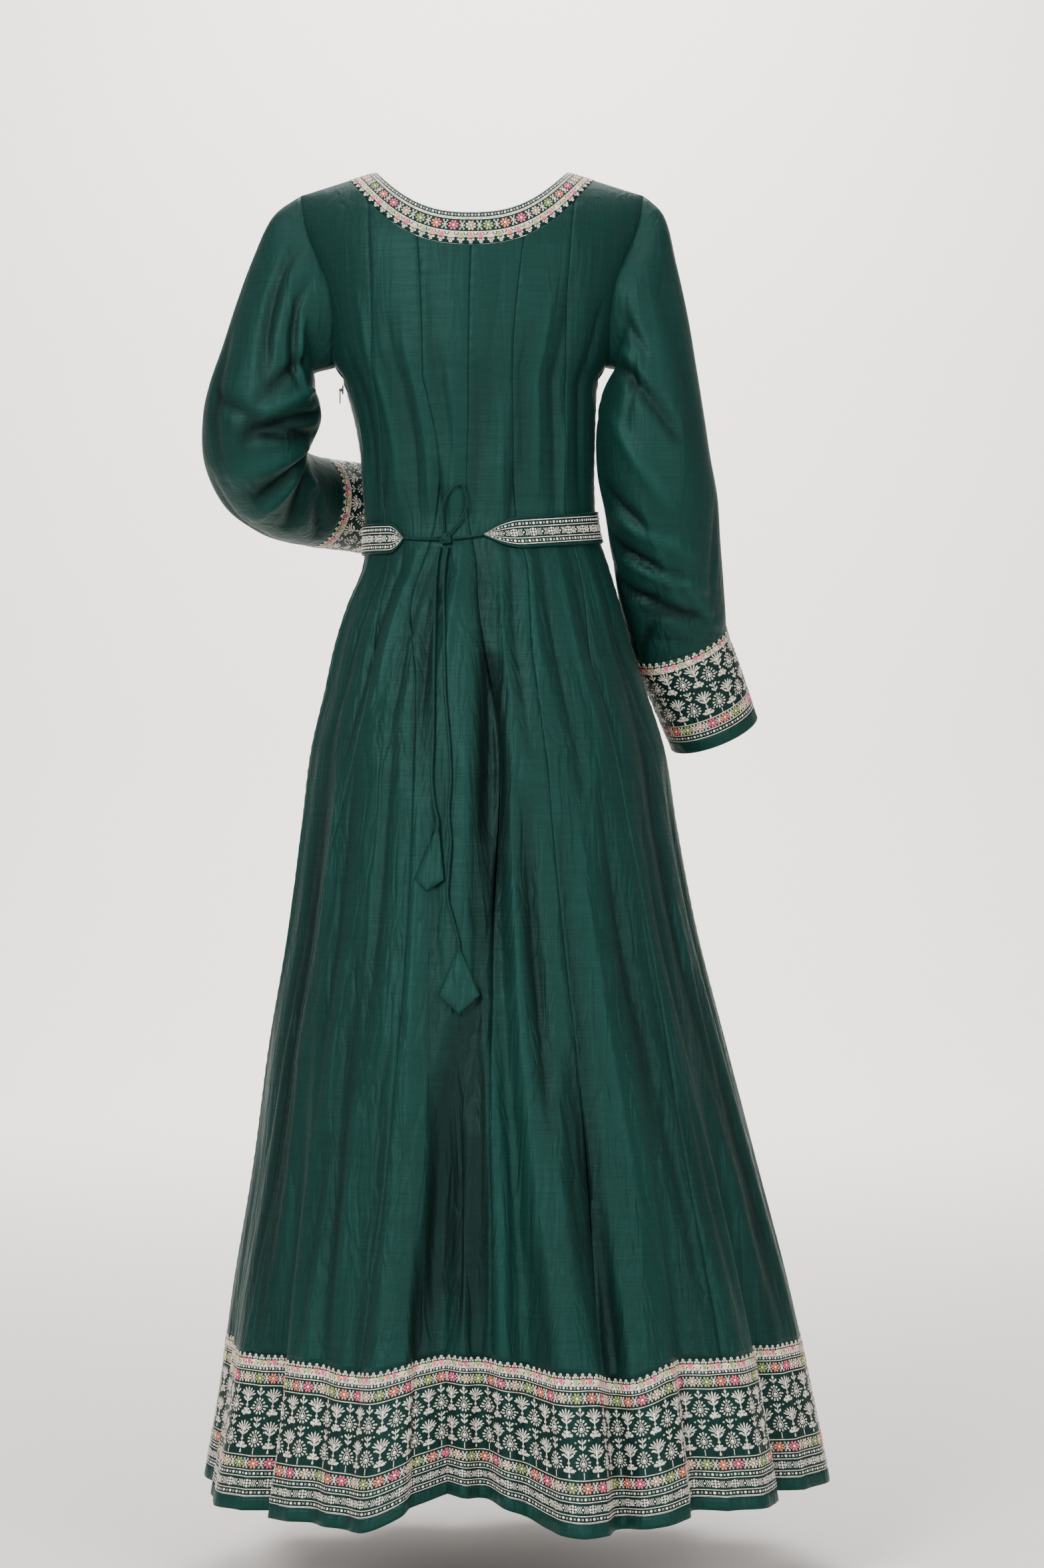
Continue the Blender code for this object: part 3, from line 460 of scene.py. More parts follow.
def silk_finish(name, colour, slub_depth):
    """Raw silk: uneven slubs run across the panel, the nap is fine and the sheen soft; its colour
    also holds painted shade in the creases, painted highlight on the ridges and painted sheen streaks
    along the crinkles.
    """
    made, shader, wire = finish(name, {"Specular IOR Level": 0.27, "Specular Tint": SILK_SHINE,
                                       "Sheen Weight": 0.03, "Sheen Roughness": 0.5,
                                       "Sheen Tint": SILK_SHINE})
    place = wire.node("ShaderNodeTexCoord", out=3)
    stretched = wire.node("ShaderNodeMapping", None, {"Vector": place, "Scale": (22.0, 22.0, 620.0)})
    slub = wire.node("ShaderNodeTexNoise", None, {"Vector": stretched, "Scale": 1.0, "Detail": 3.0,
                                                  "Roughness": 0.6})
    fine = wire.node("ShaderNodeMapping", None, {"Vector": place, "Scale": (90.0, 90.0, 2100.0)})
    thread = wire.node("ShaderNodeTexNoise", None, {"Vector": fine, "Scale": 1.0, "Detail": 1.0})
    cloud = wire.node("ShaderNodeTexNoise", None, {"Vector": place, "Scale": 9.0, "Detail": 2.0})
    hung = wire.node("ShaderNodeMapping", None, {"Vector": place, "Scale": (62.0, 62.0, 8.0)})
    crumple = wire.node("ShaderNodeTexNoise", None, {"Vector": hung, "Scale": 1.0, "Detail": 2.5,
                                                     "Roughness": 0.5, "Distortion": 0.45})
    level = wire.node("ShaderNodeSeparateXYZ", None, {"Vector": place}, out=2)
    share = wire.node("ShaderNodeMapRange", None, {"Value": level, "From Min": -0.34,
                                                   "From Max": -0.46, "To Min": 0.45, "To Max": 0.90})
    # Crinkle ridges: they raise the surface through the bump below, and they also paint light and
    # dark streaks into the colour as painted sheen.
    crinkle_and_painted_sheen = wire.maths("ABSOLUTE", crumple - 0.5, 0.0) * share
    # Painted shade: the crease depth darkens the silk's colour in its folds and lightens it on the
    # ridges.
    fold = wire.node("ShaderNodeAttribute", {"attribute_name": "fold"}, out=2)
    tone_with_painted_light = slub * 0.5 + thread * 0.25 + cloud * 0.2 + crinkle_and_painted_sheen * 0.6 - fold * 0.62
    # Ends of the colour mix: the dark end is the painted shadow of the creases, the light end a
    # painted highlight, and the slub, thread and cloud noise move between them as the silk's own
    # uneven tone.
    dark = tuple(c * k for c, k in zip(colour, SHADOW_SHARE))
    light = tuple(c * 1.75 for c in colour)
    join(tone_with_painted_light.mix(dark, light), shader, "Base Color")
    join(0.60 - slub * 0.16, shader, "Roughness")
    crushed = wire.node("ShaderNodeBump", None, {"Height": crinkle_and_painted_sheen, "Strength": 0.8,
                                                 "Distance": 0.0065})
    raised = wire.node("ShaderNodeBump", None, {"Height": slub + thread * 0.5, "Strength": 0.35,
                                                "Distance": slub_depth, "Normal": crushed})
    join(raised, shader, "Normal")
    return made


SILK = silk_finish("green raw silk", (0.0023, 0.0188, 0.0152), 0.0004)
SILK_WALL = 0.0009
# Soft creases of the panels: degrees and height at the top, degrees and height at the foot, half
# width and depth in millimetres (negative goes in)
CREASES = np.array([
    (46.0, -0.120, 42.0, -0.350, 5, 2.7), (33.0, -0.150, 30.0, -0.372, 8, -3.1),
    (27.0, -0.170, 24.0, -0.350, 4, 2.4), (15.0, -0.110, 12.0, -0.330, 7, -2.7),
    (8.0, -0.210, 14.0, -0.365, 5, 2.5), (-3.0, -0.200, 2.0, -0.372, 6, -4.1),
    (-9.0, -0.090, -8.0, -0.300, 8, -2.4), (-14.0, -0.230, -10.0, -0.370, 4, 2.7),
    (-24.0, -0.160, -22.0, -0.360, 8, -3.4), (-31.0, -0.120, -30.0, -0.340, 4, 2.5),
    (-38.0, -0.100, -40.0, -0.350, 7, -3.4), (-47.0, -0.250, -44.0, -0.365, 5, 3.1),
    (-56.0, -0.130, -58.0, -0.350, 7, -3.7), (58.0, -0.180, 60.0, -0.366, 7, -3.4),
    (50.0, -0.290, 55.0, -0.360, 4, -2.7), (70.0, -0.250, 68.0, -0.360, 5, 2.5),
    (20.0, -0.300, 18.0, -0.372, 4, -3.1), (-18.0, -0.300, -15.0, -0.372, 4, -2.7),
    (3.0, -0.378, -2.0, -0.520, 6, -5.0), (-2.0, -0.470, -2.0, -0.830, 8, -6.5),
    (18.0, -0.380, 22.0, -0.560, 5, -4.0), (11.0, -0.382, 13.0, -0.500, 4, 2.8),
    (26.0, -0.380, 33.0, -0.600, 5, -3.5), (33.0, -0.385, 41.0, -0.560, 4, 2.5),
    (40.0, -0.380, 50.0, -0.620, 6, -4.2), (52.0, -0.385, 60.0, -0.600, 5, -3.2),
    (-7.0, -0.380, -9.0, -0.540, 5, 3.0), (-12.0, -0.378, -14.0, -0.600, 5, -4.2),
    (-20.0, -0.380, -22.0, -0.520, 4, 2.5), (-26.0, -0.378, -30.0, -0.640, 6, -4.0),
    (-35.0, -0.378, -38.0, -0.560, 4, 2.5), (-42.0, -0.374, -46.0, -0.620, 6, -3.8),
    (-52.0, -0.374, -58.0, -0.560, 5, 3.0), (-62.0, -0.370, -68.0, -0.620, 6, -3.8),
    (68.0, -0.380, 74.0, -0.600, 5, 3.0), (80.0, -0.380, 82.0, -0.640, 6, -3.2),
    (6.0, -0.540, 7.0, -0.860, 6, 3.0), (14.0, -0.580, 16.0, -0.940, 7, -3.8),
    (20.5, -0.640, 21.5, -0.980, 5, 2.8), (30.0, -0.560, 33.0, -0.900, 6, -3.8),
    (44.0, -0.600, 47.0, -0.960, 7, -4.0), (50.0, -0.580, 53.0, -0.800, 5, 3.0),
    (62.0, -0.620, 66.0, -1.000, 7, -3.8), (72.0, -0.560, 76.0, -0.880, 6, 3.2),
    (-7.0, -0.700, -6.0, -1.080, 7, 3.2), (-12.0, -0.640, -11.0, -1.000, 6, -3.8),
    (-22.0, -0.660, -21.0, -1.020, 7, -4.2), (-28.0, -0.700, -29.0, -1.100, 6, 3.2),
    (-36.0, -0.620, -37.0, -0.980, 7, -4.0), (-44.0, -0.760, -46.0, -1.120, 6, -3.2),
    (-52.0, -0.620, -54.0, -1.000, 7, -4.2), (-64.0, -0.700, -66.0, -1.060, 7, 3.8),
    (-74.0, -0.600, -76.0, -0.980, 8, -4.2), (10.0, -0.860, 11.0, -1.180, 7, -4.2),
    (17.0, -0.900, 17.5, -1.180, 5, 3.2), (27.0, -0.880, 28.0, -1.180, 6, -3.5),
    (35.0, -0.920, 36.0, -1.180, 6, 3.2), (43.0, -0.960, 44.0, -1.180, 6, -3.2),
    (57.0, -0.900, 58.0, -1.180, 8, -3.8), (-15.0, -0.920, -15.5, -1.180, 6, -4.2),
    (-32.0, -0.900, -33.0, -1.180, 7, 3.5), (-49.0, -0.920, -50.0, -1.180, 8, -4.0),
    (-68.0, -0.900, -69.0, -1.180, 8, -3.8), (-104.0, -0.380, -108.0, -0.700, 7, -3.8),
    (-118.0, -0.380, -121.0, -0.900, 7, 3.8), (-131.0, -0.380, -134.0, -0.640, 6, -3.8),
    (-145.0, -0.380, -147.0, -0.820, 8, -4.2), (-157.0, -0.380, -158.0, -0.560, 6, 3.2),
    (-170.0, -0.385, -170.0, -0.900, 7, -4.0), (-183.0, -0.385, -184.0, -0.700, 6, 3.5),
    (-196.0, -0.385, -199.0, -0.960, 8, -4.0), (-209.0, -0.385, -211.0, -0.620, 6, 3.2),
    (-222.0, -0.385, -225.0, -0.860, 7, -4.0), (-236.0, -0.380, -239.0, -0.700, 6, -3.2),
    (-250.0, -0.380, -253.0, -0.940, 7, 3.8), (-112.0, -0.720, -113.0, -1.150, 8, -4.0),
    (-141.0, -0.740, -142.0, -1.180, 7, 3.8), (-166.0, -0.800, -166.0, -1.180, 8, -4.2),
    (-190.0, -0.820, -191.0, -1.180, 7, -3.8), (-217.0, -0.760, -218.0, -1.160, 8, 3.8),
    (-244.0, -0.800, -245.0, -1.180, 7, -4.0), (-128.0, -0.130, -132.0, -0.350, 7, -3.4),
    (-150.0, -0.190, -152.0, -0.360, 6, 2.7), (-172.0, -0.210, -170.0, -0.360, 6, -3.1),
    (-200.0, -0.200, -198.0, -0.355, 7, -3.1), (-226.0, -0.140, -224.0, -0.350, 6, 3.1),
    (-2.0, -0.490, -1.0, -0.680, 9, -12.0), (1.0, -0.610, 6.0, -0.960, 13, -7.0),
    (8.0, -0.820, 13.0, -1.185, 20, -9.0), (4.0, -0.880, 7.5, -1.185, 8, -6.0),
    (13.0, -0.900, 17.0, -1.185, 8, -8.0), (0.0, -0.880, 1.5, -1.185, 6, 5.0),
    (58.0, -0.560, 62.0, -1.185, 12, -8.0), (-58.0, -0.440, -63.0, -1.000, 14, -7.0),
    (-11.0, -0.620, -12.0, -0.960, 9, -5.0), (-18.0, -0.880, -20.0, -1.185, 9, -7.0),
    (24.0, -0.385, 20.0, -0.640, 11, -4.5), (-4.0, -0.378, -7.0, -0.560, 9, -4.5),
    (-66.0, -0.800, -66.0, -1.185, 13, -7.0), (37.0, -0.760, 39.0, -1.185, 10, -5.0),
    (-38.0, -0.700, -41.0, -1.185, 11, -4.5), (-98.0, -0.450, -104.0, -1.185, 14, -7.0),
    (-160.0, -0.500, -164.0, -1.185, 15, -7.0), (-204.0, -0.480, -206.0, -1.185, 14, -6.0),
    (-234.0, -0.460, -240.0, -1.185, 14, -7.0), (82.0, -0.520, 84.0, -1.185, 13, -6.0),
])


# Folds that run down through the border: degrees, half width and depth in millimetres
HEM_FOLDS = np.array([
    (18.0, 5, -9.0), (13.0, 8, 4.0), (-19.5, 5, -8.0), (-15.0, 7, 3.5), (7.0, 7, -3.5),
    (-6.0, 7, -3.0), (30.0, 8, -3.5), (42.0, 7, 2.5), (55.0, 8, -4.0), (66.0, 7, 2.5),
    (80.0, 8, -3.5), (-30.0, 7, 2.5), (-38.0, 8, -4.0), (-50.0, 7, 2.5), (-62.0, 8, -4.0),
    (-75.0, 8, 3.0), (-100.0, 8, -4.0), (-118.0, 7, 3.0), (-135.0, 8, -4.0), (-152.0, 7, 3.0),
    (-168.0, 8, -4.0), (-185.0, 8, 3.0), (-203.0, 8, -4.5), (-220.0, 7, 3.0), (-238.0, 8, -4.0),
    (-255.0, 8, 3.0),
])
HEM_FOLDS_GROW = 0.16


def creased(points, around=False):
    """Points of the body moved in and out by the creases, and each one's crease depth."""
    middle = body_middle(points)
    z = points[..., 2]
    reach = np.hypot(points[..., 0] - middle[..., 0], points[..., 1])
    half = 0.5 * (left_side(z) - right_side(z))
    depth = np.where(points[..., 1] > 0, back_depth(z), -front_depth(z))
    angle = np.degrees(np.arctan2((points[..., 0] - middle[..., 0]) / half, points[..., 1] / depth))
    total = np.zeros(z.shape)

    def profile(place, wide):
        away = np.radians((angle - place + 180.0) % 360.0 - 180.0) * reach * 1000 / wide
        return np.exp(-np.abs(away) ** 1.5) / 1000

    for top, high, foot, low, wide, deep in CREASES:
        t = (high - z) / (high - low)
        fade = np.sin(math.pi * np.clip(t, 0, 1)) ** 0.6
        total += deep * fade * profile(top + (foot - top) * t, wide)
    grown = np.clip((BORDER_TOP + HEM_FOLDS_GROW - z) / HEM_FOLDS_GROW, 0, 1)
    for place, wide, deep in HEM_FOLDS:
        total += deep * grown**2 * (3 - 2 * grown) * profile(place, wide)
    return points + grid_normals(points, middle, around) * total[..., None], total


def kali(index, across, step):
    """One panel: from its top edge down to the ring level, and on down to the border."""
    side = index in (0, 5, 6, 11)
    share = np.linspace(0.0, 1.0, (SIDE_STEPS * 4 if side else across) + 1)
    back = index < PANELS / 2
    tops = [top_place(index + min(max(s, 1e-4), 1 - 1e-4)) for s in share]
    top_x, top_z = np.array([(t[0], t[1]) for t in tops]).T
    level = np.full(share.shape, RING_LEVEL)
    ring = body_point(seam_angle(index + share * 0.999999, level), level)
    w = np.linspace(0.0, 1.0, int(0.20 / step))[:, None] ** 1.4
    x = top_x + (ring[:, 0] - top_x) * (1 - (1 - w) ** 2)
    z = top_z + (RING_LEVEL - top_z) * w
    upper = upper_point(x, z, back)
    upper[-1] = ring
    border = border_level(index + share * 0.999999, 0.0)
    t = np.linspace(0.0, 1.0, int((RING_LEVEL - BORDER_TOP) / step))[1:, None]
    z = RING_LEVEL + (border - RING_LEVEL) * t
    lower = body_point(seam_angle(index + share * 0.999999, z), z)
    points = np.concatenate([upper, lower])
    points, creases = creased(points)
    normals = grid_normals(points, body_middle(points))
    wide = np.linalg.norm(points[:, 0] - points[:, -1], axis=1)
    from_edge = np.minimum(share, 1 - share) * wide[:, None]
    groove = 0.0006 * np.exp(-(from_edge / 0.0022) ** 2)
    pucker = 0.0004 * np.sin(points[..., 2] / 0.0021) * np.exp(-(from_edge / 0.007) ** 2)
    points = points - normals * (groove + pucker)[..., None]
    label = f"back_kali_{index + 1}" if back else f"front_kali_{index - 5}"
    # The creases' depth is also stored as painted shade for the silk's colour: darker in the creases,
    # lighter on the ridges.
    piece = cloth_wall(f"{label}_silk", points, points - normals * SILK_WALL, SILK,
                       fold=np.clip(-creases / 0.010, -0.4, 1.0))
    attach(piece, "gown")
    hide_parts(label)
    return piece


for panel in range(PANELS):
    if panel < PANELS / 2:
        kali(panel, 34, 0.0050)
    else:
        kali(panel, 22, 0.0070)

# Long loose sleeves of the same silk, each one piece with a seam below, set into the armholes. The
# left arm is bent to the front of the waist and the right arm hangs with the hand a little forward.
# Middle x, y, z, half width, half depth, share of the armhole's own form
SLEEVES = {
    "left": np.array([
        (0.1780, 0.002, -0.1300, 0.060, 0.050, 0.80), (0.1895, 0.004, -0.1540, 0.058, 0.052, 0.58),
        (0.1985, 0.005, -0.1800, 0.058, 0.054, 0.38), (0.2050, 0.005, -0.2060, 0.059, 0.055, 0.18),
        (0.2110, 0.004, -0.2310, 0.061, 0.056, 0.05), (0.2190, 0.001, -0.2580, 0.058, 0.055, 0.0),
        (0.2225, -0.010, -0.2840, 0.054, 0.053, 0.0), (0.2155, -0.035, -0.3060, 0.051, 0.052, 0.0),
        (0.2000, -0.061, -0.3180, 0.049, 0.051, 0.0), (0.1830, -0.083, -0.3235, 0.048, 0.050, 0.0),
        (0.1670, -0.098, -0.3260, 0.047, 0.049, 0.0), (0.1310, -0.1285, -0.3285, 0.047, 0.048, 0.0),
        (0.0950, -0.1595, -0.3310, 0.048, 0.048, 0.0), (0.0844, -0.1686, -0.3320, 0.048, 0.048, 0.0),
    ]),
    "right": np.array([
        (0.1680, 0.003, -0.1270, 0.056, 0.046, 0.85), (0.1740, 0.006, -0.1540, 0.053, 0.048, 0.60),
        (0.1790, 0.009, -0.1830, 0.052, 0.049, 0.36), (0.1820, 0.011, -0.2150, 0.052, 0.050, 0.15),
        (0.1840, 0.012, -0.2560, 0.0545, 0.051, 0.0), (0.1875, 0.011, -0.2970, 0.057, 0.052, 0.0),
        (0.1950, 0.004, -0.3360, 0.057, 0.052, 0.0), (0.1995, -0.008, -0.3790, 0.056, 0.051, 0.0),
        (0.2045, -0.022, -0.4200, 0.055, 0.048, 0.0), (0.2105, -0.037, -0.4570, 0.0525, 0.045, 0.0),
        (0.2145, -0.045, -0.4760, 0.0515, 0.043, 0.0), (0.2315, -0.063, -0.5165, 0.050, 0.042, 0.0),
        (0.2480, -0.081, -0.5570, 0.0485, 0.041, 0.0), (0.2528, -0.086, -0.5690, 0.0485, 0.041, 0.0),
    ]),
}
CUFF_FROM = 11
CUFF_EDGE_FROM = 13
ARMHOLE_GAP = 0.0007
SLEEVE_SIDES = 96


def armhole_ring(side):
    share = 1 - ARMHOLE_START / SIDE_STEPS
    base = 0.0 if side > 0 else PANELS / 2
    ring = []
    for k in range(SLEEVE_SIDES):
        turn = 2 * k / SLEEVE_SIDES
        along = share * (1 - turn) if turn <= 1 else -share * (turn - 1)
        x, z, back = top_place(base + (along if side > 0 else -along))
        ring.append(upper_point(np.array(x), np.array(z), back))
    return np.array(ring)


def sleeve_rings(side, sections):
    """Outer rings of the whole sleeve with its cuff, one for each section, the armhole first."""
    first = armhole_ring(side)
    middle = first.mean(axis=0)
    places = np.concatenate([[middle], sections[:, :3] * (side, 1, 1)])
    along = np.gradient(places, axis=0)
    along /= np.linalg.norm(along, axis=1, keepdims=True)
    turn = 2 * math.pi * np.arange(SLEEVE_SIDES)[:, None] / SLEEVE_SIDES
    rings = [first + (side * ARMHOLE_GAP, 0.0, 0.0)]
    for k, row in enumerate(sections, start=1):
        behind = np.array((0.0, 1.0, 0.0)) - along[k][1] * along[k]
        behind /= np.linalg.norm(behind)
        out = np.cross(along[k], behind) * side
        oval = out * row[3] * np.cos(turn) + behind * row[4] * np.sin(turn)
        rings.append(places[k] + row[5] * (first - middle) + (1 - row[5]) * oval)
    return np.array(rings)


def finer_rings(rings, start, end, step):
    """Rings every few millimetres between two sections, on a smooth curve through them all."""
    middle = rings.mean(axis=1)
    run = np.concatenate([[0.0], np.cumsum(np.linalg.norm(np.diff(middle, axis=0), axis=1))])
    count = int((run[end] - run[start]) / step) + 2
    at = np.linspace(run[start], run[end], count)
    flat = rings.reshape(len(rings), -1)
    slope = np.gradient(flat, run, axis=0)
    k = np.clip(np.searchsorted(run, at) - 1, 0, len(run) - 2)
    width = (run[k + 1] - run[k])[:, None]
    t = (at - run[k])[:, None] / width
    fine = ((2 * t**3 - 3 * t**2 + 1) * flat[k] + (t**3 - 2 * t**2 + t) * width * slope[k]
            + (3 * t**2 - 2 * t**3) * flat[k + 1] + (t**3 - t**2) * width * slope[k + 1])
    return fine.reshape(count, -1, 3)


def wall_of_rings(name, rings, thickness, material, fold=None):
    normals = grid_normals(rings, rings.mean(axis=1, keepdims=True), around=True)
    return cloth_wall(name, rings, rings - normals * thickness, material, around=True, fold=fold)


def declare_tube(piece, rings, node):
    """Tube attached to the gown with its part from model.glb hidden; its girth round each ring is
    worked out but not kept.
    """
    girth = np.linalg.norm(np.roll(rings, -1, axis=1) - rings, axis=2).sum(axis=1)
    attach(piece, "gown")
    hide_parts(node)


# Creases of the sleeves: place round (0 outer, 0.25 back, 0.5 inner) and share of the length at
# one end and at the other, half width and depth in millimetres
SLEEVE_CREASES = {
    "left": np.array([
        (0.12, 0.02, 0.26, 0.42, 7, -5.1), (0.22, 0.04, 0.36, 0.36, 6, -5.8),
        (0.30, 0.10, 0.40, 0.40, 5, 4.4), (0.40, 0.16, 0.24, 0.46, 6, -6.1),
        (0.46, 0.30, 0.26, 0.48, 5, 5.4), (0.48, 0.40, 0.20, 0.56, 6, -7.8),
        (0.50, 0.50, 0.22, 0.52, 6, -8.5), (0.47, 0.56, 0.16, 0.62, 6, 6.1),
        (0.50, 0.60, 0.20, 0.68, 6, -8.2), (0.46, 0.64, 0.12, 0.74, 5, 4.8),
        (0.44, 0.68, 0.14, 0.82, 6, -6.5), (0.40, 0.74, 0.20, 0.92, 5, 4.1),
        (0.34, 0.80, 0.10, 0.96, 6, -5.1), (0.05, 0.30, 0.15, 0.60, 7, -3.7),
        (0.10, 0.62, 0.02, 0.86, 6, -4.1), (0.28, 0.50, 0.08, 0.46, 5, -4.1),
        (0.60, 0.44, 0.84, 0.52, 6, -6.1), (0.62, 0.58, 0.86, 0.66, 6, -5.8),
        (0.66, 0.20, 0.88, 0.44, 7, -4.8), (0.70, 0.72, 0.90, 0.88, 6, -4.4),
        (0.74, 0.06, 0.70, 0.34, 6, 4.1),
    ]),
    "right": np.array([
        (0.34, 0.03, 0.24, 0.26, 6, -2.8), (0.42, 0.05, 0.24, 0.34, 5, 2.2),
        (0.44, 0.12, 0.16, 0.46, 7, -5.8), (0.30, 0.18, 0.34, 0.44, 5, -2.0),
        (0.14, 0.10, 0.12, 0.52, 8, -1.8), (0.40, 0.36, 0.22, 0.62, 6, 4.1),
        (0.46, 0.52, 0.26, 0.70, 6, -5.8), (0.44, 0.60, 0.16, 0.74, 6, 5.4),
        (0.48, 0.66, 0.20, 0.80, 6, -7.5), (0.42, 0.72, 0.12, 0.84, 5, 4.8),
        (0.46, 0.78, 0.18, 0.90, 6, -6.8), (0.38, 0.86, 0.10, 0.92, 5, -4.8),
        (0.06, 0.60, 0.14, 0.90, 6, -2.2), (0.30, 0.88, 0.42, 0.99, 6, -4.4),
        (0.22, 0.80, 0.08, 0.98, 5, 4.1), (0.62, 0.20, 0.84, 0.46, 7, -5.1),
        (0.60, 0.56, 0.86, 0.66, 6, -5.8), (0.64, 0.72, 0.84, 0.80, 6, -5.1),
        (0.70, 0.04, 0.74, 0.34, 6, 4.1), (0.68, 0.86, 0.88, 0.94, 5, -4.1),
        (0.50, 0.12, 0.50, 0.36, 16, 4.5), (0.50, 0.30, 0.50, 0.75, 14, 3.0),
        (0.46, 0.70, 0.30, 0.74, 4, -3.0), (0.44, 0.83, 0.26, 0.82, 4, -2.8),
        (0.36, 0.93, 0.20, 0.97, 4, -2.4), (0.33, 0.56, 0.24, 0.84, 4, 2.4),
    ]),
}
LIP = 0.0016


def creased_rings(rings, creases):
    """Rings moved in and out along a sleeve's own creases, and the depth of each point's crease."""
    length, sides = rings.shape[:2]
    down = np.linspace(0, 1, length)[:, None]
    turn = np.arange(sides)[None] / sides
    total = np.zeros((length, sides))
    reach_down = 1000 * np.linalg.norm(np.diff(rings.mean(axis=1), axis=0), axis=1).sum()
    reach_round = 1000 * np.linalg.norm(np.diff(rings[length // 2], axis=0), axis=1).sum()
    for turn0, down0, turn1, down1, half, depth in creases:
        run = np.array(((turn1 - turn0) * reach_round, (down1 - down0) * reach_down))
        at = [(turn - turn0) * reach_round, (down - down0) * reach_down]
        t = (at[0] * run[0] + at[1] * run[1]) / (run @ run)
        off = (at[0] * run[1] - at[1] * run[0]) / np.hypot(*run)
        fade = np.sin(math.pi * np.clip(t, 0, 1)) ** 0.6
        total += depth / 1000 * fade * np.exp(-(off / half) ** 2)
    ends = np.clip(np.minimum(down, 1 - down) / 0.04, 0, 1)
    normals = grid_normals(rings, rings.mean(axis=1, keepdims=True), around=True)
    return rings + normals * (total * ends)[..., None], total * ends


sleeve_forms = {}
for label, side in (("left", 1), ("right", -1)):
    rings = sleeve_rings(side, SLEEVES[label])
    sleeve_forms[label] = rings
    fine, creases = creased_rings(finer_rings(rings, 0, CUFF_FROM, 0.004), SLEEVE_CREASES[label])
    middle = rings[0].mean(axis=0)
    inward = (middle - rings[0]) * (0, 1, 1)
    inward /= np.linalg.norm(inward, axis=1, keepdims=True)
    lip = rings[0] + inward * LIP - (side * LIP, 0, 0)
    fine = np.concatenate([[lip, rings[0] + inward * 0.25 * LIP - (side * 0.35 * LIP, 0, 0)],
                           fine[1:]])
    # The sleeve's crease depth, stored as painted shade for the silk's colour: darker in the creases,
    # lighter on the ridges.
    sleeve_painted_fold_shade = np.clip(-np.concatenate([creases[:1], creases]) / 0.007, -0.4, 1.0)
    declare_tube(wall_of_rings(f"sleeve_{label}_silk", fine, SILK_WALL, SILK, sleeve_painted_fold_shade), fine,
                 f"sleeve_{label}")

# Cuffs: an embroidered band 95 mm deep on the same silk, and below it the plain strip that
# finishes the sleeve's end.
BAND_WALL = 0.0015
# The ground of every embroidered band is the same silk painted darker, as painted shade between the
# raised motifs.
SHADED_BAND_SILK = silk_finish("green silk under embroidery", (0.0014, 0.0108, 0.0088), 0.0003)
STRIP_SILK = silk_finish("plain green strip", (0.0028, 0.0215, 0.0173), 0.0003)
for label in ("left", "right"):
    rings = sleeve_forms[label]
    band = finer_rings(rings, CUFF_FROM, CUFF_EDGE_FROM, 0.005)
    declare_tube(wall_of_rings(f"cuff_border_{label}_ground", band, BAND_WALL, SHADED_BAND_SILK), band,
                 f"cuff_border_{label}")
    strip = finer_rings(rings, CUFF_EDGE_FROM, CUFF_EDGE_FROM + 1, 0.003)
    declare_tube(wall_of_rings(f"cuff_edge_{label}_silk", strip, BAND_WALL, STRIP_SILK), strip,
                 f"cuff_edge_{label}")

# Hem border: an embroidered band 137 mm deep all round the hem, which follows every fold of the
# skirt, and the plain strip 13 mm deep below it.
HEM_EDGE_SHARE = 0.91
HEM_COLUMNS = 720


def hem_grid(first, last, rows):
    share = np.linspace(first, last, rows)[:, None]
    g = np.broadcast_to(np.arange(HEM_COLUMNS) * PANELS / HEM_COLUMNS, (rows, HEM_COLUMNS))
    z = border_level(g, share)
    return creased(body_point(seam_angle(g, z), z), around=True)[0]


hem_band = hem_grid(0.0, HEM_EDGE_SHARE, 16)
declare_tube(wall_of_rings("hem_border_ground", hem_band, BAND_WALL, SHADED_BAND_SILK), hem_band,
             "hem_border")
hem_strip = hem_grid(HEM_EDGE_SHARE + 0.002, 1.0, 4)
declare_tube(wall_of_rings("hem_edge_silk", hem_strip, BAND_WALL, STRIP_SILK), hem_strip,
             "hem_edge")

# Neck border: an embroidered band about 33 mm wide round the open scoop neck.
NECK_COLUMNS = 288


def neck_grid(rows):
    u = 4 * np.arange(NECK_COLUMNS) / NECK_COLUMNS
    grid = []
    for share in np.linspace(0.0, 0.985, rows):
        line = []
        for value in u:
            across = math.cos(math.pi * value / 2)
            back = value <= 2
            x = [half * across for half in (NECK_INNER_HALF, NECK_OUTER_HALF)]
            z = [float(neck_height(x[edge], back, edge)) for edge in (0, 1)]
            line.append(upper_point(np.array(x[0] + share * (x[1] - x[0])),
                                    np.array(z[0] + share * (z[1] - z[0])), back))
        grid.append(line)
    return np.array(grid)


neck_band = neck_grid(9)
neck_inside = np.array((0.0, 0.0, -0.14))
neck_normals = grid_normals(neck_band, neck_inside, around=True)
piece = cloth_wall("neck_border_ground", neck_band, neck_band - neck_normals * BAND_WALL, SHADED_BAND_SILK,
                   around=True)
declare_tube(piece, neck_band, "neck_border")

# Belt: an embroidered band 30 mm high with green piping all round it. Its two rounded ends lie on
# the back and it runs on round the front.
BELT_HEIGHT = 0.030
BELT_OFFSET = 0.0009
BELT_WALL = 0.0020
BELT_ENDS = {"left": (39.0, 0.018), "right": (-1.0, 0.030)}
BELT_LINE = np.array([(90.0, -0.373), (39.0, -0.376), (-1.0, -0.374), (-45.0, -0.367),
                      (-90.0, -0.360), (-180.0, -0.366), (-270.0, -0.373)])
WAIST_RADIUS = 0.100
BELT_COLUMNS = 380


def body_normals(angle, z):
    across = body_point(angle + 0.5, z) - body_point(angle - 0.5, z)
    down = body_point(angle, z - 0.001) - body_point(angle, z + 0.001)
    normal = np.cross(across, down)
    normal /= np.linalg.norm(normal, axis=-1, keepdims=True)
    here = body_point(angle, z)
    facing = np.sign((normal * (here - body_middle(here))).sum(axis=-1, keepdims=True))
    return normal * facing


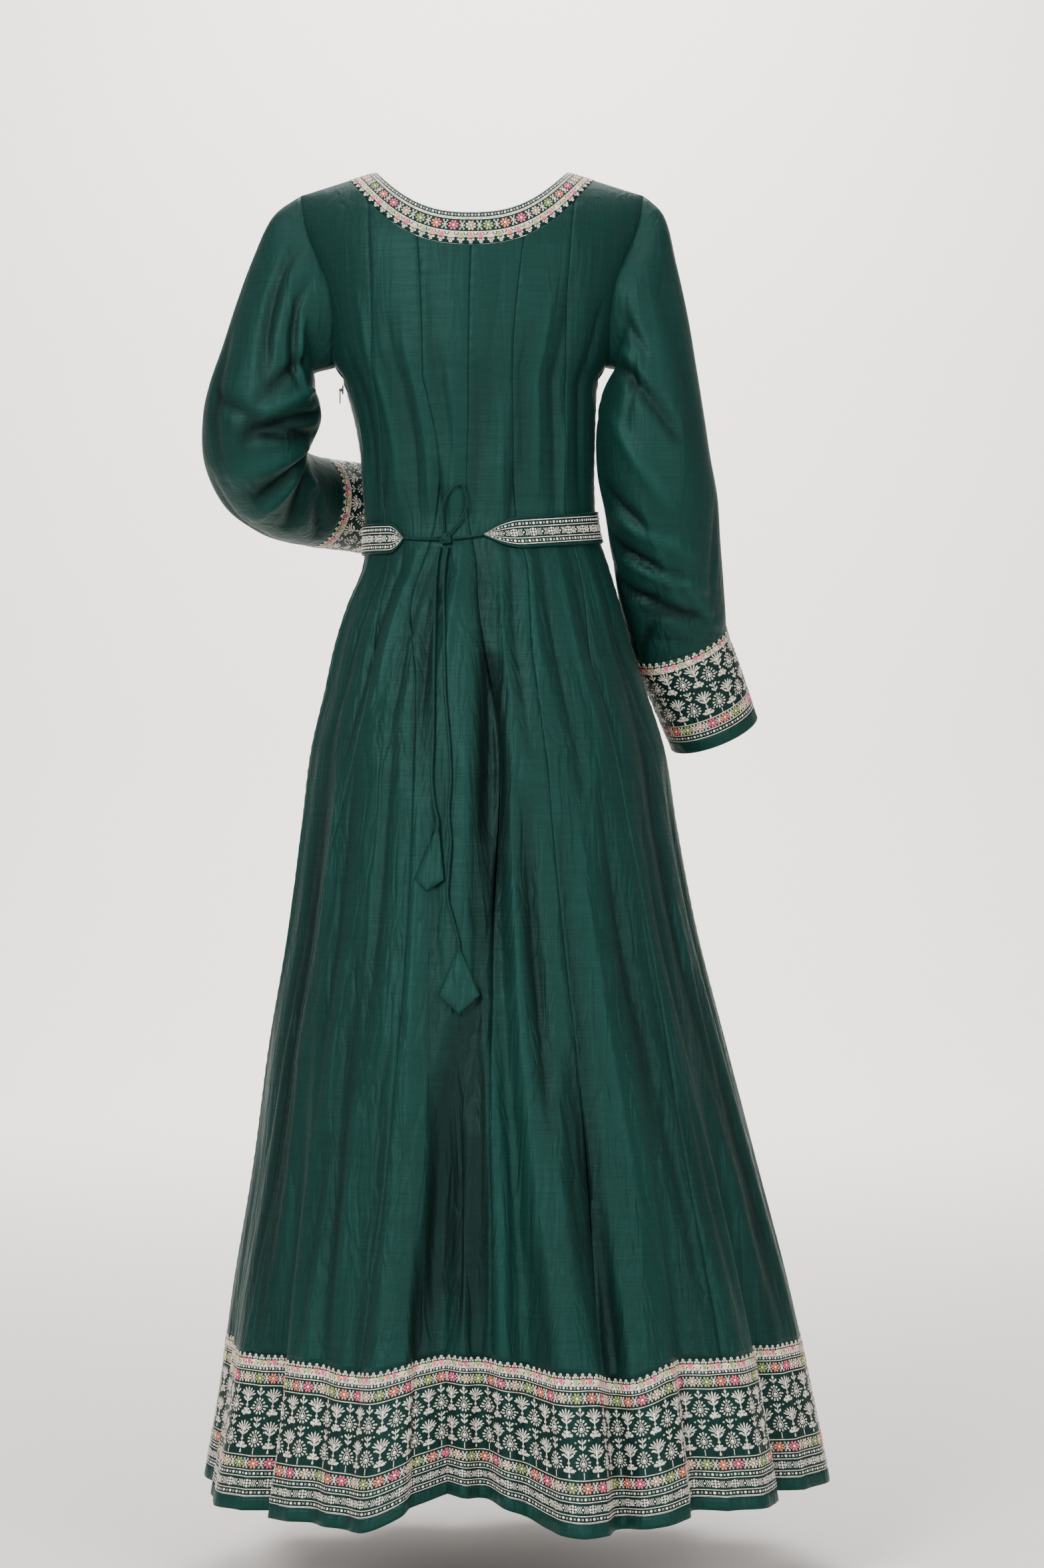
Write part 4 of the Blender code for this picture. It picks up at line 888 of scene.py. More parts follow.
span = 360.0 - (BELT_ENDS["left"][0] - BELT_ENDS["right"][0])
belt_turn = BELT_ENDS["right"][0] - np.linspace(0.0, span, BELT_COLUMNS)
belt_turn = np.where(belt_turn > -270.0, belt_turn, belt_turn + 360.0)
from_left = np.radians((belt_turn - BELT_ENDS["left"][0]) % 360.0) * WAIST_RADIUS
from_right = np.radians((BELT_ENDS["right"][0] - belt_turn) % 360.0) * WAIST_RADIUS
tip = np.minimum(1.0, np.minimum(from_left / BELT_ENDS["left"][1],
                                 from_right / BELT_ENDS["right"][1]))
narrow = np.maximum(0.06, 1 - (1 - tip) ** 2)
order = np.argsort(BELT_LINE[:, 0])
belt_middle = np.interp(belt_turn, BELT_LINE[order, 0], BELT_LINE[order, 1])
share = np.linspace(0.5, -0.5, 9)[:, None]
belt_z = belt_middle + share * BELT_HEIGHT * narrow
belt_skin = body_point(belt_turn, belt_z)
belt_normals = body_normals(belt_turn, belt_z)
belt_band = belt_skin + belt_normals * (BELT_OFFSET + BELT_WALL)
belt_piece = cloth_wall("belt_ground", belt_band, belt_skin + belt_normals * BELT_OFFSET, SHADED_BAND_SILK)
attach(belt_piece, "gown")
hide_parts("belt")


def round_cord(name, route, radius, material, sides=3):
    """Round cord on a smooth curve through its route's points."""
    route = np.array(route)
    run = np.concatenate([[0.0], np.cumsum(np.linalg.norm(np.diff(route, axis=0), axis=1))])
    count = max(6, int(run[-1] / 0.003))
    at = np.linspace(0, run[-1], count)
    points = np.stack([curve_through(run, route[:, axis])(at) for axis in range(3)], axis=1)
    curve = bpy.data.curves.new(name, "CURVE")
    curve.dimensions = "3D"
    curve.bevel_depth = radius
    curve.bevel_resolution = sides
    curve.use_fill_caps = True
    spline = curve.splines.new("POLY")
    spline.points.add(count - 1)
    spline.points.foreach_set("co", np.concatenate([points, np.ones((count, 1))], axis=1).ravel())
    curve.materials.append(material)
    piece = bpy.data.objects.new(name, curve)
    bpy.context.scene.collection.objects.link(piece)
    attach(piece, "gown")
    return piece, points


PIPING_RADIUS = 0.0012
PIPING = silk_finish("green piping and cord", (0.0021, 0.0165, 0.0133), 0.0003)
edge = np.concatenate([belt_band[0], belt_band[-1][::-1], belt_band[:1, 0]])
edge_inside = np.concatenate([belt_skin[0], belt_skin[-1][::-1], belt_skin[:1, 0]])
piping, _ = round_cord("belt_piping", 0.75 * edge[::3] + 0.25 * edge_inside[::3], PIPING_RADIUS,
                       PIPING, 2)

# Tie: a thin green silk cord from each end of the belt to a knot at the back, with one loop above
# it, and two free ends that hang over the skirt with a cloth kite on each.
CORD_RADIUS = 0.0016
CORD_OFF_CLOTH = 0.0008
CORD_LIFT = CORD_RADIUS + CORD_OFF_CLOTH
KNOT_PLACE = (0.0246, -0.3785)
KNOT_SIZE = (0.0135, 0.0090, 0.0120)
LOOP_ROUTE = [
    (0.0265, -0.3723), (0.0275, -0.3580), (0.0273, -0.3434), (0.0213, -0.3308), (0.0150, -0.3245),
    (0.0093, -0.3222), (0.0053, -0.3295), (0.0033, -0.3408), (0.0062, -0.3520), (0.0125, -0.3625),
    (0.0205, -0.3728),
]
STRAND_ROUTES = {
    "left": [(0.0300, -0.3860), (0.0322, -0.3960), (0.0340, -0.4125), (0.0352, -0.4700),
             (0.0358, -0.5300), (0.0360, -0.5790), (0.0368, -0.6255), (0.0345, -0.6450),
             (0.0312, -0.6610)],
    "right": [(0.0225, -0.3862), (0.0245, -0.3960), (0.0262, -0.4125), (0.0256, -0.4700),
              (0.0245, -0.5320), (0.0205, -0.5800), (0.0188, -0.6196), (0.0207, -0.6536),
              (0.0187, -0.6784), (0.0205, -0.7080), (0.0212, -0.7362), (0.0150, -0.7600),
              (0.0102, -0.7805)],
}
# Top's x and z, length, half width, share of the length where it is widest, lower end's drift
KITES = {"left": (0.0306, -0.6620, 0.066, 0.0150, 0.84, 0.011),
         "right": (0.0100, -0.7815, 0.066, 0.0205, 0.72, 0.000)}
KITE_THICK = 0.0030


def back_place(x, z, lift):
    """Points on the back at x and z, moved out by lift."""
    low, high = np.full(np.shape(x), -90.0), np.full(np.shape(x), 90.0)
    for _ in range(30):
        angle = 0.5 * (low + high)
        right = body_point(angle, z)[..., 0] < x
        low, high = np.where(right, angle, low), np.where(right, high, angle)
    return body_point(angle, z) + np.asarray(lift)[..., None] * body_normals(angle, z)


def belt_place(angle, lift):
    z = float(np.interp(angle, BELT_LINE[order, 0], BELT_LINE[order, 1]))
    return body_point(angle, z) + lift * body_normals(angle, z)


knot_middle = back_place(*KNOT_PLACE, CORD_OFF_CLOTH + 0.5 * KNOT_SIZE[1])
for label, sign in (("left", 1), ("right", -1)):
    tip_point = belt_place(BELT_ENDS[label][0], BELT_OFFSET + 0.5 * BELT_WALL + 0.0009)
    beside = knot_middle + np.array((sign * (0.5 * KNOT_SIZE[0] + 2 * SEAM_GAP), 0.0, 0.0))
    begin = tip_point + np.array((-sign * 2.0 * SEAM_GAP, 0.0, 0.0))
    halfway = back_place(0.5 * (begin[0] + beside[0]), 0.5 * (begin[2] + beside[2]) - 0.0012,
                         CORD_LIFT)
    tied, _ = round_cord(f"tie_cord_{label}_silk", [begin, halfway, beside], CORD_RADIUS, PIPING)
    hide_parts(f"tie_cord_{label}")
loop, _ = round_cord("tie_loop_silk", back_place(*np.array(LOOP_ROUTE).T, CORD_LIFT + 0.0030),
                     CORD_RADIUS * 0.8, PIPING)
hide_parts("tie_loop")

# The knot: two turns of the same cord drawn tight round each other
turns = np.linspace(0.0, 2 * math.pi, 14)
for name, tilt, wide, tall in (("tie_knot_turn_1", 0.5, 0.0050, 0.0042),
                               ("tie_knot_turn_2", -0.7, 0.0043, 0.0046)):
    ring = [knot_middle + np.array((wide * math.cos(t), 0.0016 * math.sin(2 * t + tilt),
                                    tall * math.sin(t + tilt))) for t in turns]
    part, _ = round_cord(name, ring, 0.0017, PIPING)
bpy.ops.mesh.primitive_uv_sphere_add(segments=20, ring_count=12, radius=0.0038, location=knot_middle)
knot = bpy.context.object
knot.name = "tie_knot_heart"
bpy.ops.object.transform_apply(location=True, rotation=False, scale=False)
knot.data.materials.append(PIPING)
knot.data.shade_smooth()
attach(knot, "gown")
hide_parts("tie_knot")

INTO_KITE = 0.15
for label, route in STRAND_ROUTES.items():
    x, z, length, half, widest, drift = KITES[label]
    sewn_in = (x + drift * INTO_KITE, z - length * INTO_KITE)
    strand, points = round_cord(f"tie_strand_{label}_silk",
                                back_place(*np.array(route + [sewn_in]).T, CORD_LIFT),
                                CORD_RADIUS, PIPING)
    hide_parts(f"tie_strand_{label}")
    row = np.unique(np.concatenate([np.linspace(0, widest, 10), np.linspace(widest, 1, 6)]))[:, None]
    wide = half * np.where(row <= widest, row / widest, (1 - row) / (1 - widest))
    across = np.linspace(-1, 1, 13)
    x = x + drift * row + across * np.maximum(wide, 0.0012)
    z = z - row * length + 0 * across
    swell = KITE_THICK * (0.45 + 0.55 * (1 - across**2)) + 0 * row
    outer = back_place(x, z, CORD_OFF_CLOTH + swell)
    inner = back_place(x, z, np.full(x.shape, CORD_OFF_CLOTH))
    kite = cloth_wall(f"tie_kite_{label}_silk", outer, inner, STRIP_SILK)
    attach(kite, "gown")
    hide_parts(f"tie_kite_{label}")

# Zip under the wearer's left arm: its fine teeth in the side seam, the slider at the top and the
# pull tab that swings on the slider's pin.
ZIP_LEVEL = -0.219
ZIP_FOOT = -0.392
SLIDER_SIZE = (0.0016, 0.0066, 0.0090)
LUG_WIDTH = 0.0009
LUG_HEIGHT = 0.0026
PIN_RADIUS = 0.00045
EYE_RADIUS = 0.0008
EYE_OUTER = 0.0013
PULL_WIDTH = 0.0040
PULL_THICK = 0.0012
PULL_LENGTH = 0.0140
TEETH_PITCH = 0.0016
ZIP_METAL, metal_shader, metal_wire = finish("dark lacquered metal", {
    "Base Color": (0.035, 0.045, 0.043, 1.0), "Metallic": 0.9, "Coat Weight": 0.4})
scuffs = metal_wire.node("ShaderNodeTexNoise", None, {
    "Vector": metal_wire.node("ShaderNodeTexCoord", out=3), "Scale": 700.0, "Detail": 3.0})
join(0.26 + scuffs * 0.18, metal_shader, "Roughness")


def block(name, middle, size, rounding):
    bpy.ops.mesh.primitive_cube_add(size=1.0, location=middle)
    made = bpy.context.object
    made.name = name
    made.scale = size
    bpy.ops.object.transform_apply(location=True, rotation=False, scale=True)
    bevel = made.modifiers.new("rounded", "BEVEL")
    bevel.width = rounding
    bevel.segments = 3
    bpy.ops.object.modifier_apply(modifier=bevel.name)
    made.data.materials.append(ZIP_METAL)
    return made


def rod(name, middle, radius, length):
    """Round rod along Y."""
    bpy.ops.mesh.primitive_cylinder_add(vertices=32, radius=radius, depth=length, location=middle,
                                        rotation=(math.pi / 2, 0.0, 0.0))
    made = bpy.context.object
    made.name = name
    bpy.ops.object.transform_apply(location=True, rotation=True, scale=False)
    made.data.materials.append(ZIP_METAL)
    return made


def combine(target, other, operation):
    cut = target.modifiers.new("combine", "BOOLEAN")
    cut.operation = operation
    cut.object = other
    bpy.context.view_layer.objects.active = target
    bpy.ops.object.modifier_apply(modifier=cut.name)
    bpy.data.objects.remove(other, do_unlink=True)


def smooth(piece):
    bpy.ops.object.select_all(action="DESELECT")
    piece.select_set(True)
    bpy.context.view_layer.objects.active = piece
    bpy.ops.object.shade_smooth_by_angle(angle=math.radians(35))
    piece.select_set(False)


zip_side = float(body_point(90.0, ZIP_LEVEL + 0.5 * SLIDER_SIZE[2])[0])
slider_x = zip_side + 2 * SEAM_GAP + 0.5 * SLIDER_SIZE[0]
pin_x = slider_x + 0.5 * SLIDER_SIZE[0] + EYE_OUTER + 2 * SEAM_GAP
slider = block("zip_slider_body", (slider_x, 0.0, ZIP_LEVEL), SLIDER_SIZE, 0.0006)
lug_end = pin_x + 2 * PIN_RADIUS
for sign in (1, -1):
    lug_y = sign * (0.5 * PULL_WIDTH + SEAM_GAP + 0.5 * LUG_WIDTH)
    combine(slider, block("lug", (0.5 * (lug_end + slider_x), lug_y, ZIP_LEVEL),
                          (lug_end - slider_x, LUG_WIDTH, LUG_HEIGHT), 0.0002), "UNION")
combine(slider, rod("pin", (pin_x, 0.0, ZIP_LEVEL), PIN_RADIUS,
                    PULL_WIDTH + 2 * SEAM_GAP + LUG_WIDTH), "UNION")
smooth(slider)
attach(slider, "gown")
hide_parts("zip_slider")

pull = rod("zip_pull_tab", (pin_x, 0.0, ZIP_LEVEL), EYE_OUTER, PULL_WIDTH)
tab_top = ZIP_LEVEL - 0.5 * EYE_OUTER
combine(pull, block("tab", (pin_x, 0.0, 0.5 * (tab_top + ZIP_LEVEL - PULL_LENGTH)),
                    (PULL_THICK, PULL_WIDTH, tab_top - ZIP_LEVEL + PULL_LENGTH), 0.0005), "UNION")
combine(pull, rod("bore", (pin_x, 0.0, ZIP_LEVEL), EYE_RADIUS, 2 * PULL_WIDTH), "DIFFERENCE")
smooth(pull)
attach(pull, "zip_pull")
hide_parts("zip_pull")

levels = np.arange(ZIP_LEVEL - 0.5 * SLIDER_SIZE[2] - 0.001, ZIP_FOOT, -TEETH_PITCH)
teeth = []
for k, z in enumerate(levels):
    y = 0.0006 if k % 2 else -0.0006
    x = float(body_point(90.0, z)[0]) + 0.0003
    bpy.ops.mesh.primitive_cube_add(size=1.0, location=(x, y, z))
    tooth = bpy.context.object
    tooth.scale = (0.0008, 0.0016, 0.0009)
    teeth.append(tooth)
bpy.ops.object.select_all(action="DESELECT")
for tooth in teeth:
    tooth.select_set(True)
bpy.context.view_layer.objects.active = teeth[0]
bpy.ops.object.join()
bpy.ops.object.transform_apply(location=True, rotation=True, scale=True)
bpy.ops.object.select_all(action="DESELECT")
teeth[0].name = "zip_teeth"
teeth[0].data.materials.append(ZIP_METAL)
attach(teeth[0], "gown")

# Embroidery. Each border's motifs are small raised pads of satin stitch, rings, crystals and cords.
# They are gathered for one border in millimetres along and across it, then laid on its surface.
SILVER, CRYSTAL, PINK, CORAL, OLIVE, CREAM = range(6)


def thread_finish(name, colour, rough, metal=0.0, shade=0.45):
    """Satin stitch: fine stripes lift the surface; its colour is painted darker between them as shade
    and brighter here and there as painted glints, where the roughness also drops.
    """
    made, shader, wire = finish(name, {"Metallic": metal})
    place = wire.node("ShaderNodeTexCoord", out=3)
    grain = wire.node("ShaderNodeTexNoise", None, {"Vector": place, "Scale": 750.0, "Detail": 1.0})
    patch = wire.node("ShaderNodeTexNoise", None, {"Vector": place, "Scale": 260.0, "Detail": 1.0})
    # Painted glints and shade: the noise paints the thread's colour brighter in spots and darker
    # between them.
    tone_with_painted_light = (grain + patch) * 1.6 - 1.1
    join(tone_with_painted_light.mix(tuple(c * shade for c in colour), colour), shader, "Base Color")
    join(rough + 0.2 - tone_with_painted_light * 0.3, shader, "Roughness")
    raised = wire.node("ShaderNodeBump", None, {"Height": grain, "Strength": 0.7,
                                                "Distance": 0.0006})
    join(raised, shader, "Normal")
    return made


EMBROIDERY = [
    thread_finish("silver thread", (0.86, 0.78, 0.67), 0.36, 0.25),
    thread_finish("crystal", (0.97, 0.97, 0.96), 0.10, 0.25, 0.62),
    thread_finish("pink satin stitch", (0.88, 0.09, 0.20), 0.45),
    thread_finish("coral satin stitch", (0.90, 0.22, 0.12), 0.45),
    thread_finish("olive satin stitch", (0.36, 0.43, 0.11), 0.45),
    thread_finish("cream satin stitch", (0.95, 0.66, 0.40), 0.45),
]


def pad(outline, height, kind):
    """Raised pad of stitches: a rim on the cloth and a point over its middle."""
    rim = np.array([(x, y, 0.0) for x, y in outline])
    count = len(rim)
    middle = (*rim[:, :2].mean(axis=0), height)
    faces = [(k, (k + 1) % count, count) for k in range(count)]
    return [(np.vstack([rim, middle]), np.array(faces), kind)]


def petal(x, y, turn, length, width, kind=SILVER, height=0.7):
    """Drop-shaped pad from x, y; turn is in degrees, 0 along the border and 90 down it."""
    c = math.cos(math.radians(turn))
    s = math.sin(math.radians(turn))
    drop = ((0.0, 0.0), (0.42, -0.36), (0.82, -0.42), (1.0, 0.0), (0.82, 0.42), (0.42, 0.36))
    outline = [(x + c * a * length - s * b * width, y + s * a * length + c * b * width)
               for a, b in drop]
    return pad(outline, height, kind)


def bead(x, y, radius, kind=SILVER, height=0.8, sides=6):
    turns = [2 * math.pi * k / sides for k in range(sides)]
    return pad([(x + radius * math.cos(t), y + radius * math.sin(t)) for t in turns], height, kind)


def hoop(x, y, radius, sides=7, height=0.8, heart=None):
    """Ring of thread with a hollow or a crystal in its middle."""
    turns = np.arange(sides) * 2 * math.pi / sides
    rim = [np.stack([x + r * np.cos(turns), y + r * np.sin(turns), np.full(sides, h)], axis=1)
           for r, h in ((radius, 0.0), (0.68 * radius, height), (0.34 * radius, 0.3 * height))]
    faces = []
    for level in (0, 1):
        for k in range(sides):
            a, b = level * sides + k, level * sides + (k + 1) % sides
            faces += [(a, b, b + sides), (a, b + sides, a + sides)]
    parts = [(np.concatenate(rim), np.array(faces), SILVER)]
    if heart is not None:
        parts += bead(x, y, 0.45 * radius, heart, 1.1 * height, 5)
    return parts


def line(x0, y0, x1, y1, width=0.7, kind=SILVER, height=0.5):
    """Narrow stitch between two places."""
    along = np.array((x1 - x0, y1 - y0))
    across = np.array((-along[1], along[0])) / np.hypot(*along) * width / 2
    a, b = np.array((x0, y0)), np.array((x1, y1))
    points = np.array([(*(a - across), 0.0), (*a, height), (*(a + across), 0.0),
                       (*(b - across), 0.0), (*b, height), (*(b + across), 0.0)])
    return [(points, np.array([(0, 3, 4), (0, 4, 1), (1, 4, 5), (1, 5, 2)]), kind)]


def turned(parts, mirror=1, flip=1, along=0.0, down=0.0, scale=1.0):
    """Copy of a motif, mirrored along or flipped across, then moved."""
    change = np.array((mirror * scale, flip * scale, 1.0))
    made = []
    for points, faces, kind in parts:
        faces = faces if mirror * flip > 0 else faces[:, ::-1]
        made.append((points * change + (along, down, 0.0), faces, kind))
    return made


def both_sides(parts):
    return parts + turned(parts, mirror=-1)


def flower(kind, radius=5.6):
    parts = []
    for k in range(8):
        turn = 45 * k + 22.5
        x, y = 1.3 * math.cos(math.radians(turn)), 1.3 * math.sin(math.radians(turn))
        parts += petal(x, y, turn, radius - 1.3, 2.7, kind, 0.9)
    return parts + bead(0, 0, 1.5, CRYSTAL, 1.3)


def cross_knot():
    """Knot between two flowers: a crystal, four arms and a ring at the end of each."""
    parts = bead(0, 0, 1.2, CRYSTAL, 1.1)
    for side in (-1, 1):
        for end in (-1, 1):
            parts += line(0.4 * side, 0.8 * end, 1.7 * side, 3.5 * end, 0.8)
            parts += hoop(1.9 * side, 4.2 * end, 1.05, 6)
        parts += bead(2.2 * side, 0.0, 0.8)
        parts += bead(0.0, 2.3 * side, 0.7)
    return parts


def trefoil_knob():
    """Knob of the outer edge: a ring on two beads."""
    return hoop(0, 1.7, 1.7, 8) + bead(-2.2, 4.0, 1.2) + bead(2.2, 4.0, 1.2) + bead(0, 3.8, 0.8)


def satin_heart(kind):
    """Coloured triangle, point inward, held between silver arcs."""
    parts = pad([(-2.6, 4.9), (0.0, 4.5), (2.6, 4.9), (0.3, 9.5), (-0.3, 9.5)], 1.0, kind)
    parts += both_sides(line(3.1, 5.2, 0.7, 10.0, 1.0, height=0.8))
    return parts + bead(3.85, 6.6, 0.9) + bead(3.85, 9.0, 1.3) + line(1.2, 10.2, 6.5, 10.2, 0.9)


def medallion():
    """Drop-shaped medallion with thirteen scallops, an inner outline and a crystal."""
    parts = []
    inner = []
    for k in range(13):
        turn = 2 * math.pi * (k + 0.5) / 13 + math.pi / 2
        c, down = math.cos(turn), math.sin(turn)
        up = max(0.0, -down)
        x, y = 4.3 * c * (1 - 0.30 * up), down * (4.3 + 1.7 * up)
        parts += petal(x, y, math.degrees(math.atan2(down, c * (1 + 0.2 * up))), 3.6, 2.1,
                       height=0.8)
        inner.append((3.2 * c * (1 - 0.5 * up), down * (3.4 + 1.9 * up)))
    for k in range(13):
        parts += line(*inner[k], *inner[(k + 1) % 13], 0.65, height=0.7)
    return parts + bead(0, 0.5, 1.8, CRYSTAL, 1.4, 8) + bead(0, -2.6, 0.8) + bead(0, 3.0, 0.6)


def leafy_stem(length, pairs):
    parts = line(0, 0, 0, length, 0.8)
    for k in range(pairs):
        down = length * (k + 0.9) / pairs
        parts += both_sides(petal(0.2, down, -48 - 6 * k, 5.6 - 0.4 * k, 2.3))
    return parts


def lotus_fan():
    """Fan of seven rays over two leaves."""
    parts = []
    for k in range(7):
        turn = -90 + 23 * (k - 3)
        long = 9.4 - 0.35 * abs(k - 3)
        parts += petal(0.9 * (k - 3) * 0.5, 10.2, turn, long, 1.75, height=0.9)
    parts += both_sides(petal(0.2, 16.0, -140, 7.4, 2.4)) + petal(0.0, 16.0, -90, 6.2, 3.0)
    parts += bead(0, 9.4, 1.4, CRYSTAL, 1.3) + both_sides(bead(2.1, 10.6, 0.8))
    return parts + line(0, 15.5, 0, 18.5, 0.9)


def bell():
    """Three hanging petals under a small ring."""
    parts = hoop(0, 1.4, 1.5, 7, heart=CRYSTAL) + petal(0, 3.0, 90, 4.4, 3.0)
    parts += petal(0, 11.0, -90, 5.4, 4.0)
    return parts + both_sides(petal(0.6, 10.0, -22, 5.6, 4.0)) + both_sides(bead(2.4, 5.6, 1.2))


def field_repeat():
    """One repeat of the field, 28.9 mm wide and 68.5 mm deep: medallions and lotus fans."""
    parts = bead(0, 2.4, 1.5) + leafy_stem(9.0, 1)
    parts += turned(medallion(), down=20.0) + turned(leafy_stem(11.0, 2), down=30.0)
    parts += turned(medallion(), down=53.0) + line(0, 61.5, 0, 68.0, 0.8)
    beside = lotus_fan() + turned(bell(), down=18.0) + turned(lotus_fan(), down=33.5)
    beside += turned(bell(), down=52.0, scale=1.0) + petal(0, 63.0, 90, 4.5, 2.4)
    parts += turned(beside, along=14.45)
    for x, y in ((8.2, 7.0), (-8.0, 8.5), (8.6, 19.5), (-8.4, 22.0), (6.8, 31.5), (-6.6, 33.5),
                 (8.4, 46.0), (-8.5, 43.5), (8.0, 57.5), (-8.3, 60.0), (12.0, 29.0)):
        parts += hoop(x, y, 1.0, 6, heart=CRYSTAL)
    return parts


def chevrons():
    """Crystal motif of four petals between three chevrons on each side."""
    parts = bead(0, 0, 1.1, CRYSTAL, 1.3)
    for turn in (0, 90, 180, 270):
        parts += petal(0.8 * math.cos(math.radians(turn)), 0.8 * math.sin(math.radians(turn)),
                       turn, 3.4, 2.8)
    for side in (1, -1):
        for out in (3.6, 5.2, 6.8):
            for end in (-1, 1):
                parts += line(side * out, 0, side * (out + 1.9), end * 3.3, 0.6)
        parts += both_sides(bead(2.6, side * 2.6, 1.0))
    return parts + bead(9.6, 0, 1.1, CRYSTAL)


class Border:
    """A band of cloth as a grid of points, and the embroidery that is laid on it."""

    def __init__(self, grid, normals, drawn_depth, around=True):
        self.grid, self.normals, self.around = grid, normals, around
        middle = grid[len(grid) // 2]
        if around:
            middle = np.concatenate([middle, middle[:1]])
        steps = np.linalg.norm(np.diff(middle, axis=0), axis=1)
        self.run = np.concatenate([[0.0], np.cumsum(steps)]) * 1000
        self.length = self.run[-1]
        self.drawn_depth = drawn_depth
        self.points, self.faces, self.kinds, self.count = [], [], [], 0

    def surface(self, places):
        """Points on the border for millimetres along, across and above it."""
        rows, columns = self.grid.shape[:2]
        along = places[:, 0] % self.length if self.around else np.clip(places[:, 0], 0, self.length)
        column = np.interp(along, self.run, np.arange(len(self.run)))
        row = np.clip(places[:, 1] / self.drawn_depth, 0.0, 1.0) * (rows - 1)
        c = np.minimum(column.astype(int), len(self.run) - 2)
        r = np.minimum(row.astype(int), rows - 2)
        u, v = (column - c)[:, None], (row - r)[:, None]
        after = (c + 1) % columns
        made = []
        for table in (self.grid, self.normals):
            top = table[r, c] * (1 - u) + table[r, after] * u
            low = table[r + 1, c] * (1 - u) + table[r + 1, after] * u
            made.append(top * (1 - v) + low * v)
        return made[0] + made[1] * (places[:, 2:] / 1000 + 0.00005)

    def add(self, parts, places, across=0.0):
        """Lay a motif at places along the border, in millimetres."""
        places = np.atleast_1d(places)
        for points, faces, kind in parts:
            moved = points[None] + np.stack([places, np.full(len(places), across),
                                             np.zeros(len(places))], axis=1)[:, None]
            steps = self.count + np.arange(len(places))[:, None, None] * len(points)
            self.points.append(self.surface(moved.reshape(-1, 3)))
            self.faces.append((faces[None] + steps).reshape(-1, 3))
            self.kinds.append(np.full(len(places) * len(faces), kind))
            self.count += len(places) * len(points)

    def cord(self, across, width=0.9, height=0.7, kind=SILVER, step=1.5):
        """Couched cord all along the border, laid in short twists."""
        count = int(self.length / step)
        along = np.linspace(0, self.length, count + (0 if self.around else 1),
                            endpoint=not self.around)
        twist = 0.16 * width * (np.arange(len(along)) % 2 - 0.5)
        rim = [(-0.5 * width, 0.0), (0.0, 1.0), (0.5 * width, 0.0)]
        grid = np.stack([np.stack([along, across + y + twist, height * h * (0.8 + 0.2 * (
            np.arange(len(along)) % 2))], axis=1) for y, h in rim], axis=1)
        index = self.count + np.arange(len(along) * 3).reshape(-1, 3)
        after = np.roll(index, -1, axis=0)
        if not self.around:
            index, after = index[:-1], after[:-1]
        quads = [np.stack([index[:, k], after[:, k], after[:, k + 1], index[:, k + 1]], axis=1)
                 for k in (0, 1)]
        quads = np.concatenate(quads)
        faces = np.concatenate([quads[:, [0, 1, 2]], quads[:, [0, 2, 3]]])
        self.points.append(self.surface(grid.reshape(-1, 3)))
        self.faces.append(faces)
        self.kinds.append(np.full(len(faces), kind))
        self.count += len(along) * 3

    def bead_row(self, across, pitch=3.7):
        """Row of crystals with a cross of silver stitches between each two."""
        count = 2 * round(self.length / pitch / 2)
        along = self.length * np.arange(count) / count
        self.add(bead(0, 0, 1.35, CRYSTAL, 1.0, 7), along[::2], across)
        star = []
        for k in range(8):
            r = (1.7, 0.5)[k % 2]
            star.append((r * math.cos(math.pi * (k + 1) / 4), r * math.sin(math.pi * (k + 1) / 4)))
        self.add(pad(star, 0.8, SILVER), along[1::2], across)

    def sew(self, name):
        mesh = bpy.data.meshes.new(name)
        points, faces = np.concatenate(self.points), np.concatenate(self.faces)
        mesh.from_pydata(points.tolist(), [], faces.tolist())
        for material in EMBROIDERY:
            mesh.materials.append(material)
        mesh.polygons.foreach_set("material_index", np.concatenate(self.kinds).astype(np.int32))
        mesh.shade_smooth()
        piece = bpy.data.objects.new(name, mesh)
        bpy.context.scene.collection.objects.link(piece)
        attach(piece, "gown")
        self.points, self.faces, self.kinds, self.count = [], [], [], 0
        return piece


def cycle(count, colours):
    return [(colours[k], np.arange(k, count, len(colours))) for k in range(len(colours))]


def knob_row(border, pitch=7.7, across=0.0, flip=1, start=0.0, colours=(PINK, CREAM, OLIVE, CORAL)):
    count = 4 * round(border.length / pitch / 4)
    step = border.length / count
    border.add(turned(trefoil_knob(), flip=flip), start + step * np.arange(count), across)
    for kind, which in cycle(count, colours):
        border.add(turned(satin_heart(kind), flip=flip, scale=1.2), start + step * which, across)


def flower_row(border, across, pitch, start=0.0, colours=(CORAL, PINK, CREAM, OLIVE)):
    count = 4 * round(border.length / pitch / 4)
    step = border.length / count
    for kind, which in cycle(count, colours):
        border.add(flower(kind), start + step * which, across)
    border.add(cross_knot(), start + step * (np.arange(count) + 0.5), across)


# Drawn heights of the bands and repeats of the motifs along them, in millimetres
DRAWN_HEM, DRAWN_CUFF, DRAWN_NECK, DRAWN_BELT = 142.5, 98.8, 35.0, 29.4
FIELD_PITCH = 28.9
FLOWER_PITCH = 15.4
NECK_FLOWER_PITCH = 18.4
NECK_KNOB_PITCH = 9.2
HEM_CHEVRON_PITCH, BELT_CHEVRON_PITCH = 19.2, 19.6
BELT_CHEVRON_INSET = 10.0

